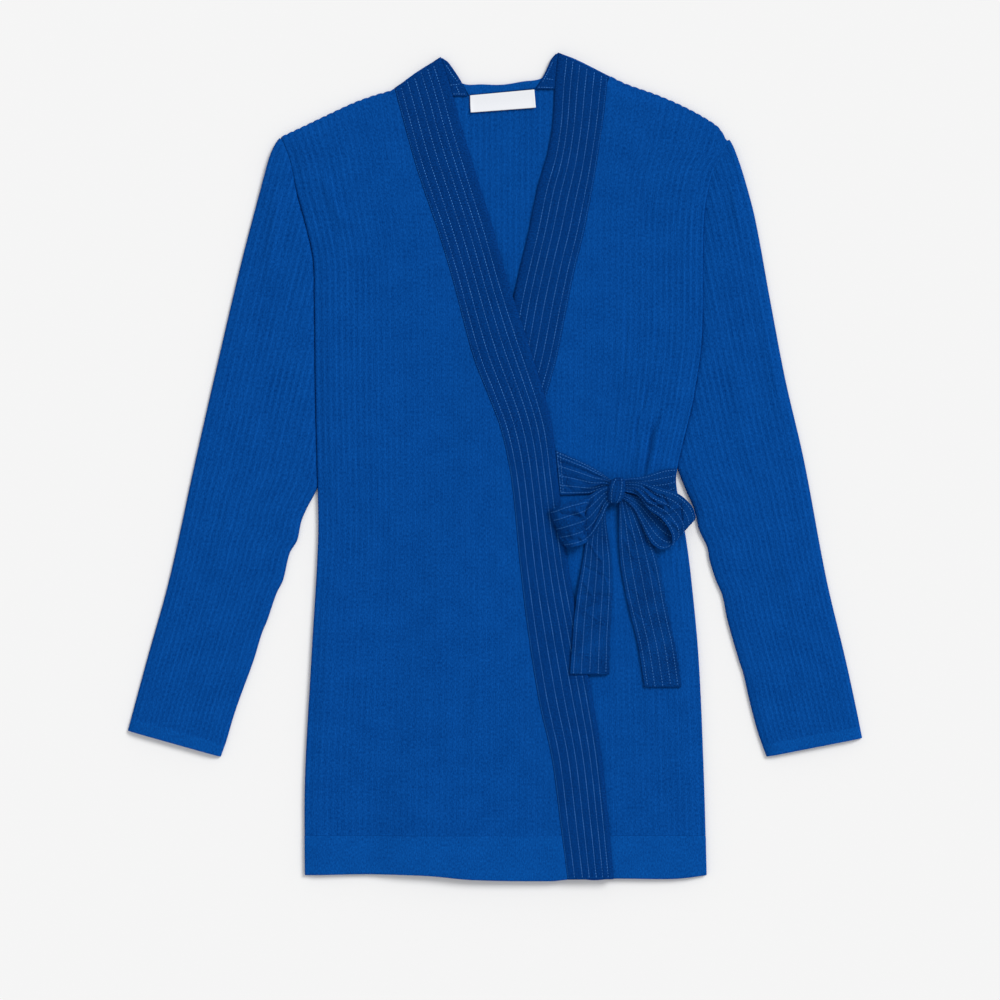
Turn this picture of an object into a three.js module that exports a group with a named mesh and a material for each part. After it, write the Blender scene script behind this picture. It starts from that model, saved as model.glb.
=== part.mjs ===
// A wrap cardigan in rib knit, laid flat and face up: one back, two crossed fronts with stitched
// bands, two sleeves, and a tie knotted in a bow over the left hip. Millimetres, +Z up. The neck is
// at +Y, and left and right are the wearer's, so the right side lies at -X.
import * as THREE from "three";

// Cloth
const knitWall = 1.5;
const bandWall = 2.0;
const facingWall = 1.1;
const tieWall = 1.2;
const labelWall = 0.7;
const seamGap = 0.3;
const bandSeamGap = 0.5;
const sleeveGap = 0.5;
const sleeveTipGap = 0.6;
const layerGap = 0.5;
const ribPitch = 5.7;
const ribHeight = 0.45;
const channelHeight = 0.35;
const cuffRise = 11.64;

// Levels of the undersides, from the floor up
const frontLevel = knitWall + layerGap;
const wrapRise = bandWall + channelHeight + layerGap + 0.2;
const wrapReach = 45;
const wrapLead = 8;
const facingLevel = knitWall + ribHeight + seamGap;

// Softness of the cloth that lies on the back
const puffHeight = 1.5;
const puffReach = 15;
const waveHeight = 0.35;
const waves = [
  { length: 150, alongX: 1, alongY: 0.6 },
  { length: 255, alongX: -0.4, alongY: 1 },
];

// Grids
const bodyRows = 10;
const plainStep = 6;
const sideStep = 15;
const sleeveRibs = 20;
const sleeveRows = 12;
const bandRows = 24;
const bandChannels = 7;
// Rows of the left front, closer above the tie where the cloth is gathered
const waistRows = [0, 0.15, 0.3, 0.41, 0.47, 0.51, 0.55, 0.59, 0.63, 0.68, 0.76, 0.88, 1];

const knitBlue = 0x074694;
const hemBlue = 0x0a4896;
const bandBlue = 0x07387c;
const labelWhite = 0xedeff4;

// Side seam, then armhole, of each side: x for each y
const rightSide = [
  { y: -392, x: -180 },
  { y: -298, x: -180 },
  { y: -184, x: -174 },
  { y: -70, x: -167.5 },
  { y: -18, x: -168 },
  { y: 70, x: -170 },
  { y: 158, x: -171 },
  { y: 196, x: -172 },
  { y: 227, x: -178.5 },
  { y: 256, x: -186.5 },
  { y: 291, x: -195 },
  { y: 312, x: -203 },
  { y: 400, x: -236 },
];
const leftSide = [
  { y: -392, x: 200.5 },
  { y: -298, x: 198 },
  { y: -184, x: 193 },
  { y: -108, x: 186 },
  { y: -66, x: 180.5 },
  { y: -32, x: 174 },
  { y: -12, x: 171.5 },
  { y: 12, x: 175.5 },
  { y: 55, x: 186 },
  { y: 79, x: 190.5 },
  { y: 110, x: 195 },
  { y: 142, x: 196.7 },
  { y: 208, x: 197 },
  { y: 246, x: 199 },
  { y: 269, x: 203.5 },
  { y: 283, x: 208 },
  { y: 296, x: 216 },
  { y: 308, x: 220.5 },
  { y: 400, x: 252 },
];
const armpit = { right: 158, left: 142 };

// Shoulder lines and back neck: y for each x
const rightShoulder = [
  { x: -230, y: 297 },
  { x: -203, y: 312 },
  { x: -180, y: 323 },
  { x: -157, y: 334 },
  { x: -133, y: 345 },
  { x: -115, y: 351.5 },
  { x: -95, y: 358 },
  { x: -83, y: 368 },
  { x: -65, y: 380 },
  { x: -51, y: 388 },
];
const leftShoulder = [
  { x: 60, y: 392.5 },
  { x: 77, y: 386 },
  { x: 107, y: 371 },
  { x: 123, y: 363 },
  { x: 155, y: 351.5 },
  { x: 180, y: 340.5 },
  { x: 201, y: 329 },
  { x: 213, y: 320 },
  { x: 220.5, y: 308 },
  { x: 240, y: 290 },
];
const backNeck = [
  { x: -51, y: 388 },
  { x: -45, y: 383.5 },
  { x: -38, y: 374 },
  { x: -31.5, y: 363.5 },
  { x: -12, y: 362.3 },
  { x: 7, y: 362 },
  { x: 26, y: 365 },
  { x: 45, y: 368.5 },
  { x: 49.5, y: 377 },
  { x: 53.5, y: 386 },
  { x: 60, y: 392.5 },
];
const hemLine = [
  { x: -181, y: -387.5 },
  { x: -117, y: -386.5 },
  { x: -64, y: -387.7 },
  { x: -20, y: -391.5 },
  { x: 53, y: -392.5 },
  { x: 76, y: -390.5 },
  { x: 94, y: -392 },
  { x: 113, y: -390.5 },
  { x: 170, y: -390.8 },
  { x: 201, y: -387.6 },
];

// Bands: the seam to the front and the free edge, x for each y. Below y = 60 the left one is hidden.
const rightBand = [
  { y: -391, seam: 68.5, edge: 112.2 },
  { y: -339, seam: 61.8, edge: 107.4 },
  { y: -276, seam: 53.5, edge: 100.8 },
  { y: -222, seam: 41.4, edge: 92.6 },
  { y: -159, seam: 31.4, edge: 80.8 },
  { y: -96, seam: 23.8, edge: 69.4 },
  { y: -13, seam: 15.4, edge: 59.4 },
  { y: 34, seam: 5.6, edge: 54.4 },
  { y: 63, seam: -5, edge: 47.6 },
  { y: 103, seam: -20.6, edge: 35.4 },
  { y: 177, seam: -40.4, edge: 11.4 },
  { y: 225, seam: -55, edge: -2.2 },
  { y: 281, seam: -74, edge: -19.6 },
  { y: 329, seam: -87.5, edge: -34.2 },
  { y: 364, seam: -96.6, edge: -43.6 },
  { y: 388, seam: -102, edge: -51.6 },
];
const leftBand = [
  { y: -391, seam: -26, edge: -72 },
  { y: -222, seam: -5, edge: -51 },
  { y: -96, seam: 14, edge: -32 },
  { y: -13, seam: 29, edge: -17 },
  { y: 63, seam: 47.5, edge: 1 },
  { y: 103, seam: 58.6, edge: 8.4 },
  { y: 158, seam: 69.6, edge: 17.2 },
  { y: 190, seam: 76.4, edge: 24.2 },
  { y: 221, seam: 84.2, edge: 31.6 },
  { y: 266, seam: 93, edge: 40.8 },
  { y: 297, seam: 98, edge: 50 },
  { y: 326, seam: 102.4, edge: 54.8 },
  { y: 366, seam: 106.8, edge: 57.2 },
  { y: 392, seam: 109, edge: 60 },
];

// Sleeves: outer fold and inner fold, x for each y. Where the body covers it the inner fold is
// carried on straight, so that the ribs run out under the side of the body.
const rightSleeve = {
  outer: [
    { y: 316, x: -200 },
    { y: 308, x: -207 },
    { y: 296, x: -213 },
    { y: 272, x: -220 },
    { y: 196, x: -240 },
    { y: 120, x: -258 },
    { y: 6, x: -284 },
    { y: -108, x: -309 },
    { y: -184, x: -330 },
    { y: -256, x: -349.4 },
  ],
  inner: [
    { y: 320, x: -83.5 },
    { y: 60, x: -148.5 },
    { y: -18, x: -168 },
    { y: -40, x: -179 },
    { y: -52, x: -184 },
    { y: -70, x: -188 },
    { y: -82, x: -195 },
    { y: -108, x: -201.5 },
    { y: -120, x: -207.5 },
    { y: -146, x: -216.5 },
    { y: -158, x: -221.5 },
    { y: -184, x: -229.5 },
    { y: -222, x: -243.5 },
    { y: -240, x: -249.5 },
    { y: -262, x: -256 },
    { y: -280, x: -262.5 },
  ],
  tip: 306,
  cuff: { outer: -251, inner: -275.5 },
};
const leftSleeve = {
  outer: [
    { y: 316, x: 216 },
    { y: 308, x: 223.5 },
    { y: 296, x: 229 },
    { y: 272, x: 237 },
    { y: 234, x: 247 },
    { y: 158, x: 261 },
    { y: 82, x: 275.5 },
    { y: 6, x: 293 },
    { y: -108, x: 314.5 },
    { y: -184, x: 332.5 },
    { y: -230, x: 342.5 },
    { y: -262, x: 348.9 },
  ],
  inner: [
    { y: 320, x: 101 },
    { y: 60, x: 159.5 },
    { y: 0, x: 173 },
    { y: -20, x: 180.5 },
    { y: -41, x: 189.5 },
    { y: -60, x: 194 },
    { y: -76, x: 201.5 },
    { y: -89, x: 204 },
    { y: -108, x: 210 },
    { y: -122, x: 216 },
    { y: -146, x: 221 },
    { y: -184, x: 232 },
    { y: -196, x: 236 },
    { y: -222, x: 242 },
    { y: -252, x: 250 },
    { y: -280, x: 260 },
  ],
  tip: 304,
  cuff: { outer: -258, inner: -275.5 },
};
const sleeveDrop = 25;

// Soft folds: the line each runs along, its reach to either side, and its height (negative for a
// trough)
const underFolds = [
  { x1: 131, y1: 183, x2: 121, y2: 112, reach: 7, height: -1.0 },
  { x1: 150, y1: 125, x2: 139, y2: 60, reach: 8, height: 1.6 },
  { x1: 125, y1: 70, x2: 123, y2: 6, reach: 7, height: 2.0 },
  { x1: 135, y1: 66, x2: 131, y2: 0, reach: 5, height: -1.2 },
  { x1: 148, y1: 60, x2: 139, y2: 8, reach: 6, height: 2.6 },
  { x1: 162, y1: 62, x2: 148, y2: 6, reach: 5, height: -1.2 },
  { x1: 171, y1: 50, x2: 157, y2: 10, reach: 6, height: 1.8 },
  { x1: 176, y1: -60, x2: 172, y2: -92, reach: 5, height: 0.9 },
  { x1: 150, y1: -215, x2: 150, y2: -280, reach: 6, height: -0.9 },
];
const overFolds = [
  { x1: 5, y1: -82, x2: 1, y2: -112, reach: 6, height: 0.8 },
  { x1: -14, y1: -200, x2: -18, y2: -238, reach: 7, height: 0.9 },
  { x1: -43, y1: -234, x2: -47, y2: -284, reach: 8, height: 0.9 },
  { x1: -160, y1: 272, x2: -140, y2: 226, reach: 8, height: 1.4 },
];
const sleeveFolds = [
  { x1: -206, y1: 262, x2: -216, y2: 170, reach: 7, height: 1.6 },
  { x1: -250, y1: -20, x2: -268, y2: -110, reach: 10, height: 1.0 },
  { x1: 226, y1: 272, x2: 232, y2: 226, reach: 6, height: 1.6 },
  { x1: 254, y1: 160, x2: 275, y2: 46, reach: 7, height: 1.6 },
  { x1: 268, y1: -60, x2: 288, y2: -150, reach: 10, height: 1.0 },
];

// Tie pieces: a row for each section, from its a edge to its b edge, with the height of the side
// the wall grows from
const strapFromBand = [
  { ax: 57.6, ay: 15, az: 6.9, bx: 61.8, by: -27, bz: 6.9 },
  { ax: 68, ay: 10.2, az: 6.8, bx: 70, by: -27, bz: 6.8 },
  { ax: 84, ay: 3, az: 6.7, bx: 81, by: -26.5, bz: 6.8 },
  { ax: 96, ay: -3.6, az: 7.4, bx: 91, by: -25.4, bz: 7.2 },
  { ax: 104.6, ay: -9.4, az: 9, bx: 103, by: -20.4, bz: 8.6 },
];
const strapFromSide = [
  { ax: 171.4, ay: -2.4, az: 4.4, bx: 170.6, by: -24.6, bz: 4.4 },
  { ax: 161, ay: -3.4, az: 6.6, bx: 160.6, by: -28.6, bz: 6.6 },
  { ax: 149, ay: -7.4, az: 7.2, bx: 148, by: -27.5, bz: 7 },
  { ax: 139, ay: -10.4, az: 8.2, bx: 138, by: -24, bz: 7.6 },
  { ax: 126, ay: -12, az: 9.6, bx: 126, by: -20.5, bz: 9.2 },
];
const loopOverBand = [
  { ax: 104.4, ay: -19.6, az: 13.6, bx: 105.4, by: -33.4, bz: 12.8 },
  { ax: 90.3, ay: -23.6, az: 16.6, bx: 97, by: -47, bz: 15.4 },
  { ax: 73.2, ay: -30, az: 18.4, bx: 89, by: -65, bz: 16.4 },
  { ax: 58.4, ay: -36.6, az: 17.4, bx: 78, by: -74.4, bz: 16 },
  { ax: 53.4, ay: -40.4, az: 14.4, bx: 70, by: -76.4, bz: 13.6 },
  { ax: 55.6, ay: -40.6, az: 11, bx: 72, by: -75.4, bz: 10.8 },
  { ax: 73.4, ay: -33, az: 10.2, bx: 88, by: -63, bz: 10.2 },
  { ax: 90.3, ay: -26.6, az: 10.6, bx: 96, by: -46, bz: 10.6 },
  { ax: 104.2, ay: -22.4, az: 11, bx: 105, by: -33, bz: 10.6 },
];
const loopOverHip = [
  { ax: 124.6, ay: -14.6, az: 14, bx: 125.3, by: -24.6, bz: 14 },
  { ax: 136, ay: -14.8, az: 16.6, bx: 134.6, by: -28, bz: 15.6 },
  { ax: 153.8, ay: -20.4, az: 18.6, bx: 144.6, by: -40.4, bz: 17.4 },
  { ax: 171.4, ay: -25.8, az: 18.8, bx: 157, by: -49.6, bz: 18 },
  { ax: 183.6, ay: -35.6, az: 18, bx: 165.4, by: -61.4, bz: 17.4 },
  { ax: 189, ay: -45.6, az: 15.4, bx: 167.6, by: -71.4, bz: 15 },
  { ax: 188.4, ay: -51.4, az: 12, bx: 164.6, by: -77.4, bz: 12 },
  { ax: 181, ay: -55, az: 10.2, bx: 155.6, by: -78.4, bz: 10 },
  { ax: 167, ay: -49, az: 9.8, bx: 147, by: -71, bz: 9.6 },
  { ax: 153, ay: -40, az: 10, bx: 139.4, by: -56, bz: 9.8 },
  { ax: 140, ay: -31, az: 10.4, bx: 132.4, by: -42, bz: 10 },
  { ax: 125.6, ay: -26, az: 10.6, bx: 124.6, by: -33.6, bz: 10.4 },
];
const tailOverBand = [
  { ax: 104.6, ay: -37.4, az: 8.2, bx: 113.6, by: -37.4, bz: 8.2 },
  { ax: 96.4, ay: -52, az: 7.2, bx: 113.8, by: -52, bz: 7.4 },
  { ax: 86.8, ay: -71, az: 6.9, bx: 113.8, by: -71, bz: 6.8 },
  { ax: 82.6, ay: -94, az: 6.9, bx: 113, by: -94, bz: 6.4 },
  { ax: 78.4, ay: -118, az: 8.8, bx: 111.4, by: -118, bz: 6.9 },
  { ax: 75.2, ay: -142, az: 9.7, bx: 109.8, by: -142, bz: 6.6 },
  { ax: 73.4, ay: -165, az: 10, bx: 108.4, by: -165, bz: 6.8 },
  { ax: 71, ay: -196.5, az: 10.1, bx: 107.8, by: -197, bz: 6.9 },
];
const tailOverHip = [
  { ax: 115.6, ay: -37.4, az: 8.2, bx: 129.6, by: -36.6, bz: 8.2 },
  { ax: 116, ay: -52, az: 7.4, bx: 138, by: -52, bz: 7 },
  { ax: 116.6, ay: -71, az: 6.7, bx: 148, by: -71, bz: 6.5 },
  { ax: 119.4, ay: -96, az: 6.3, bx: 155.6, by: -96, bz: 6.5 },
  { ax: 125.9, ay: -130, az: 6.5, bx: 161.5, by: -128, bz: 6.4 },
  { ax: 131.4, ay: -152, az: 6.4, bx: 165.8, by: -149, bz: 6.6 },
  { ax: 136.4, ay: -174, az: 6.5, bx: 170.6, by: -171, bz: 6.4 },
  { ax: 141.9, ay: -209, az: 6.4, bx: 176.2, by: -209, bz: 6.4 },
];
const labelRows = [
  { ax: -23.6, ay: 351.8, az: 2.5, bx: 37.2, by: 357.4, bz: 2.5 },
  { ax: -23.4, ay: 343, az: 2.4, bx: 38, by: 348, bz: 2.4 },
  { ax: -23, ay: 335.6, az: 2.9, bx: 38.6, by: 340.2, bz: 3.2 },
];
const knot = {
  x: 115,
  y: -23.2,
  z: 12.6,
  halfX: 9.8,
  halfY: 12,
  halfZ: 6,
  lean: -1.2,
  pleats: 3,
  pleatDepth: 0.5,
};

function clamp01(value) {
  return Math.min(1, Math.max(0, value));
}

function mix(a, b, t) {
  return a + (b - a) * t;
}

function ease(value) {
  const t = clamp01(value);
  return t * t * (3 - 2 * t);
}

// A smooth curve through a table: the value column for a key, straight beyond both ends.
function curveOf(table, key, value) {
  const rows = [...table].sort((p, q) => p[key] - q[key]);
  const last = rows.length - 1;
  const slope = (i) => {
    const a = rows[Math.max(0, i - 1)];
    const b = rows[Math.min(last, i + 1)];
    return (b[value] - a[value]) / (b[key] - a[key]);
  };
  return (at) => {
    if (at <= rows[0][key]) return rows[0][value] + slope(0) * (at - rows[0][key]);
    if (at >= rows[last][key]) return rows[last][value] + slope(last) * (at - rows[last][key]);
    const i = rows.findIndex((row) => row[key] >= at) - 1;
    const span = rows[i + 1][key] - rows[i][key];
    const t = (at - rows[i][key]) / span;
    const startPull = slope(i) * span;
    const endPull = slope(i + 1) * span;
    return (
      rows[i][value] * (2 * t ** 3 - 3 * t ** 2 + 1) +
      startPull * (t ** 3 - 2 * t ** 2 + t) +
      rows[i + 1][value] * (3 * t ** 2 - 2 * t ** 3) +
      endPull * (t ** 3 - t ** 2)
    );
  };
}

// Straight lines between points of a curve, so that the two pieces along a seam share one line
function chordsOf(curve, places) {
  return (at) => {
    const last = places.length - 2;
    const i = Math.max(0, Math.min(last, places.findIndex((place) => place > at) - 1));
    const from = at >= places[last + 1] ? last : i;
    const t = (at - places[from]) / (places[from + 1] - places[from]);
    return mix(curve(places[from]), curve(places[from + 1]), t);
  };
}

function evenPlaces(from, to, count) {
  return Array.from({ length: count + 1 }, (_, i) => mix(from, to, i / count));
}

// Seams: hem line, sides with armholes, shoulders and neck, and the two sides of each band
const hemTop = -350.5;
const hemFoot = -391;
const sidePlaces = Array.from({ length: 55 }, (_, i) => hemTop + (i - 3) * sideStep);
const rightSideAt = chordsOf(curveOf(rightSide, "y", "x"), sidePlaces);
const leftSideAt = chordsOf(curveOf(leftSide, "y", "x"), sidePlaces);
const rightShoulderAt = curveOf(rightShoulder, "x", "y");
const leftShoulderAt = curveOf(leftShoulder, "x", "y");
const backNeckAt = curveOf(backNeck, "x", "y");
const hemAt = curveOf(hemLine, "x", "y");
const bandTop = { rightSeam: 358.5, rightEdge: 388, leftSeam: 370, leftEdge: 392.5 };
function bandLine(table, name, top) {
  const curve = curveOf(table, "y", name);
  return chordsOf(curve, evenPlaces(hemAt(curve(hemFoot)), top, bandRows));
}
const rightBandSeamAt = bandLine(rightBand, "seam", bandTop.rightSeam);
const rightBandEdgeAt = bandLine(rightBand, "edge", bandTop.rightEdge);
const leftBandSeamAt = bandLine(leftBand, "seam", bandTop.leftSeam);
const leftBandEdgeAt = bandLine(leftBand, "edge", bandTop.leftEdge);

// The top line of the body at x: shoulders outside, back neck between their peaks.
function topLineAt(x) {
  if (x <= backNeck[0].x) return rightShoulderAt(x);
  if (x >= backNeck[backNeck.length - 1].x) return leftShoulderAt(x);
  return backNeckAt(x);
}

// The first place between low and high where the test turns true, by halving.
function crossing(low, high, isPast) {
  let a = low;
  let b = high;
  for (let i = 0; i < 50; i++) {
    const middle = (a + b) / 2;
    if (isPast(middle)) b = middle;
    else a = middle;
  }
  return b;
}

// Where the rib that stands at r below the armpits runs at height y: it leans with the side seam and
// the armhole, less so towards the front edge.
const fanInner = { right: -20, leftShoulder: 62, leftWaist: 78 };
const rightArmpitX = rightSideAt(armpit.right);
const leftArmpitX = leftSideAt(armpit.left);
function ribAt(r, y) {
  const leftInner = mix(fanInner.leftWaist, fanInner.leftShoulder, ease((y - 90) / 160));
  const rightShare = clamp01((fanInner.right - r) / (fanInner.right - rightArmpitX));
  const leftShare = clamp01((r - leftInner) / (leftArmpitX - leftInner));
  return r + rightShare * (rightSideAt(y) - rightArmpitX) + leftShare * (leftSideAt(y) - leftArmpitX);
}

// Height of all folds at a point
function foldHeight(folds, x, y) {
  let height = 0;
  for (const fold of folds) {
    const dx = fold.x2 - fold.x1;
    const dy = fold.y2 - fold.y1;
    const length = Math.hypot(dx, dy);
    const along = ((x - fold.x1) * dx + (y - fold.y1) * dy) / length;
    const across = ((x - fold.x1) * dy - (y - fold.y1) * dx) / length;
    const start = ease((along + fold.reach) / (2 * fold.reach));
    const end = ease((length + fold.reach - along) / (2 * fold.reach));
    height += fold.height * start * end * Math.exp(-((across / fold.reach) ** 2));
  }
  return height;
}

// How far the cloth on the back is lifted: nothing at the sides and shoulders, then soft and uneven.
function liftAt(x, y) {
  const fromSide = Math.min(x - rightSideAt(y), leftSideAt(y) - x);
  const fromTop = topLineAt(x) - y;
  const open = ease(fromSide / puffReach) * ease(fromTop / puffReach);
  const turnOf = (wave) => (2 * Math.PI * (wave.alongX * x + wave.alongY * y)) / wave.length;
  const swell = waves.reduce((sum, wave) => sum + Math.sin(turnOf(wave)), 0);
  return open * (puffHeight + waveHeight * swell);
}

// Undersides of the two layers that cross
function underLayer(x, y) {
  return frontLevel + liftAt(x, y) + foldHeight(underFolds, x, y);
}
function overLayer(x, y) {
  const past = x - leftBandEdgeAt(y) + wrapReach + wrapLead;
  return frontLevel + liftAt(x, y) + wrapRise * ease(past / wrapReach) + foldHeight(overFolds, x, y);
}

// A closed solid from points and faces: points at one place become one, faces without area go, and
// all faces end up facing out.
function solidGeometry(points, faces) {
  const places = new Map();
  const kept = [];
  const idOf = points.map((p) => {
    const place = p.map((c) => Math.round(c * 500)).join(",");
    if (!places.has(place)) {
      places.set(place, kept.length);
      kept.push(p);
    }
    return places.get(place);
  });
  let triangles = faces
    .map((face) => face.map((i) => idOf[i]))
    .filter(([a, b, c]) => a !== b && b !== c && a !== c);
  const volume = triangles.reduce((sum, [a, b, c]) => {
    const [p, q, r] = [kept[a], kept[b], kept[c]];
    return (
      sum +
      p[0] * (q[1] * r[2] - q[2] * r[1]) -
      p[1] * (q[0] * r[2] - q[2] * r[0]) +
      p[2] * (q[0] * r[1] - q[1] * r[0])
    );
  }, 0);
  if (volume < 0) triangles = triangles.map(([a, b, c]) => [a, c, b]);
  const geometry = new THREE.BufferGeometry();
  geometry.setAttribute("position", new THREE.Float32BufferAttribute(kept.flat(), 3));
  geometry.setIndex(triangles.flat());
  geometry.computeVertexNormals();
  return geometry;
}

// Collects points and the faces between them. Every point is at a column place and a row place of one
// skin, whose pointOf gives its position. Points made twice at one place become one in the end.
class Skins {
  points = [];
  faces = [];

  // A line of points: many columns in one row, or many rows in one column
  line(pointOf, columns, rows) {
    const alongColumns = columns.length > 1;
    return rows.flatMap((row) =>
      columns.map((column) => {
        this.points.push(pointOf(column, row));
        return { at: alongColumns ? column : row, id: this.points.length - 1 };
      }),
    );
  }

  // The faces between two lines that run the same way: from an upper line down to a lower one, or,
  // in a level skin that faces up, from a far row or a left column to its neighbour
  wall(upper, lower, turned = false) {
    const spanOf = (line, i) => (i < line.length ? Math.abs(line[i].at - line[0].at) : Infinity);
    let i = 0;
    let j = 0;
    while (i < upper.length - 1 || j < lower.length - 1) {
      const moveUpper = spanOf(upper, i + 1) <= spanOf(lower, j + 1);
      const third = moveUpper ? upper[i + 1].id : lower[j + 1].id;
      const face = [upper[i].id, lower[j].id, third];
      this.faces.push(turned ? [face[0], face[2], face[1]] : face);
      if (moveUpper) i++;
      else j++;
    }
  }

  // A level skin over columns and rows. Its side columns may have rows of their own, and its first
  // and last row columns of their own.
  skin(pointOf, columns, rows, facesUp, { firstRows, lastRows, nearColumns, farColumns } = {}) {
    const inner = columns.slice(firstRows ? 1 : 0, lastRows ? -1 : undefined);
    const within = (places) => places.filter((c) => c >= inner[0] && c <= inner[inner.length - 1]);
    const rowColumns = rows.map((_, r) => {
      if (r === 0 && nearColumns) return within(nearColumns);
      return r === rows.length - 1 && farColumns ? within(farColumns) : inner;
    });
    for (let r = 0; r + 1 < rows.length; r++) {
      const near = this.line(pointOf, rowColumns[r], [rows[r]]);
      const far = this.line(pointOf, rowColumns[r + 1], [rows[r + 1]]);
      this.wall(far, near, !facesUp);
    }
    const side = (column) => this.line(pointOf, [column], rows);
    if (firstRows) this.wall(this.line(pointOf, [columns[0]], firstRows), side(inner[0]), !facesUp);
    const last = columns[columns.length - 1];
    if (lastRows) this.wall(side(inner[inner.length - 1]), this.line(pointOf, [last], lastRows), !facesUp);
  }

  geometry() {
    return solidGeometry(this.points, this.faces);
  }
}

// Every few places of a list, always with the last
function sparse(places, step) {
  return places.filter((_, i) => i % step === 0 || i === places.length - 1);
}

// The same with the second and the last but one, for a plain side whose side columns are finer
function sparseInside(places, step) {
  const count = places.length;
  return places.filter((_, i) => i % step === 0 || i === 1 || i >= count - 2);
}

// A cloth wall with a fine upper side and a plain lower side. pointAt gives x and y for a column and
// a row place from 0 to 1; the two heights are functions of x, y and column. The first and the last
// column may have rows of their own, which follow a curved side more closely.
function clothWall({ columns, plainColumns, rows, firstRows, lastRows, pointAt, upperZ, lowerZ }) {
  const skins = new Skins();
  const at = (heightAt) => (column, t) => {
    const [x, y] = pointAt(column, t);
    return [x, y, heightAt(x, y, column, t)];
  };
  const upper = at(upperZ);
  const lower = at(lowerZ);
  skins.skin(upper, columns, rows, true, { firstRows, lastRows });
  skins.skin(lower, plainColumns, rows, false, { firstRows, lastRows, farColumns: columns });
  const ends = [columns[0], columns[columns.length - 1]];
  const left = [[ends[0]], [...(firstRows ?? rows)].reverse()];
  const right = [[ends[1]], lastRows ?? rows];
  skins.wall(skins.line(upper, columns, [0]), skins.line(lower, plainColumns, [0]));
  skins.wall(skins.line(upper, [...columns].reverse(), [1]), skins.line(lower, [...columns].reverse(), [1]));
  skins.wall(skins.line(upper, ...right), skins.line(lower, ...right));
  skins.wall(skins.line(upper, ...left), skins.line(lower, ...left));
  return skins.geometry();
}

// Rib columns between two rib places: valleys at whole pitches, ridges halfway.
function ribColumns(from, to) {
  const half = ribPitch / 2;
  const columns = [from];
  for (let i = Math.ceil(from / half + 0.3); i * half < to - 0.3 * half; i++) columns.push(i * half);
  columns.push(to);
  return columns;
}
function ribRelief(r) {
  const place = r / ribPitch;
  return ribHeight * 2 * Math.abs(place - Math.round(place));
}

// The rib panels of the body: each column runs up its rib from the hem to where the panel ends.
const panelBottom = hemTop + seamGap;
function panelPoint(endAt) {
  const ends = new Map();
  return (r, t) => {
    if (!ends.has(r)) ends.set(r, Math.max(panelBottom, endAt(r)));
    const y = mix(panelBottom, ends.get(r), t);
    return [ribAt(r, y), y];
  };
}

// Row places of a side column: one at each point of the side's line
function sideRows(top) {
  const inner = sidePlaces.filter((y) => y > panelBottom + 4 && y < top - 4);
  return [panelBottom, ...inner, top].map((y) => (y - panelBottom) / (top - panelBottom));
}

function panelEnd(isPast) {
  return (r) => crossing(panelBottom, 400, (y) => isPast(ribAt(r, y), y) || y > topLineAt(ribAt(r, y)));
}

// Adds columns where neighbours end far apart, so that a panel's end follows a steep seam
const endStep = 22;
function followEnds(columns, endAt) {
  return columns.flatMap((column, i) => {
    if (i === 0) return [column];
    const before = columns[i - 1];
    const jump = Math.abs(endAt(column) - endAt(before));
    return evenPlaces(before, column, Math.max(1, Math.ceil(jump / endStep))).slice(1);
  });
}

function frontPanelRight() {
  const endAt = panelEnd((x, y) => x > rightBandSeamAt(y) - bandSeamGap);
  const lastRib = crossing(0, 80, (r) => endAt(r) < panelBottom + 1);
  const columns = followEnds(ribColumns(rightArmpitX, lastRib), endAt);
  return clothWall({
    columns,
    plainColumns: sparseInside(columns, plainStep),
    rows: evenPlaces(0, 1, bodyRows),
    firstRows: sideRows(endAt(rightArmpitX)),
    pointAt: panelPoint(endAt),
    upperZ: (x, y, r) => overLayer(x, y) + knitWall + ribRelief(r),
    lowerZ: overLayer,
  });
}

function frontPanelLeft() {
  const endAt = panelEnd((x, y) => x < leftBandSeamAt(y) + bandSeamGap);
  const firstRib = crossing(-60, 40, (r) => endAt(r) > panelBottom + 1);
  const hiddenTo = 40;
  const hidden = sparse(ribColumns(firstRib, hiddenTo), 4);
  const shown = followEnds(ribColumns(hiddenTo, leftArmpitX), endAt);
  const columns = [...hidden, ...shown.slice(1)];
  return clothWall({
    columns,
    plainColumns: sparseInside(columns, plainStep),
    rows: waistRows,
    lastRows: sideRows(endAt(leftArmpitX)),
    pointAt: panelPoint(endAt),
    upperZ: (x, y, r) => underLayer(x, y) + knitWall + (r < hiddenTo ? 0 : ribRelief(r)),
    lowerZ: underLayer,
  });
}

// The back lies flat on its outside. Its inside is ribbed where the neck opening shows it.
function backPanel() {
  const endAt = panelEnd(() => false);
  const shown = { from: -45.6, to: 62.7, above: 150 };
  const rightOf = sparse(ribColumns(rightArmpitX, shown.from), plainStep);
  const leftOf = sparse(ribColumns(shown.to, leftArmpitX), plainStep);
  const columns = [...rightOf, ...ribColumns(shown.from, shown.to).slice(1, -1), ...leftOf];
  const isShown = (y, r) => r > shown.from && r < shown.to && y > shown.above;
  return clothWall({
    columns,
    plainColumns: sparseInside(columns, 4),
    rows: evenPlaces(0, 1, bodyRows - 2),
    firstRows: sideRows(endAt(rightArmpitX)),
    lastRows: sideRows(endAt(leftArmpitX)),
    pointAt: panelPoint(endAt),
    upperZ: (x, y, r) => knitWall + (isShown(y, r) ? ribRelief(r) : 0),
    lowerZ: () => 0,
  });
}

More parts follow.
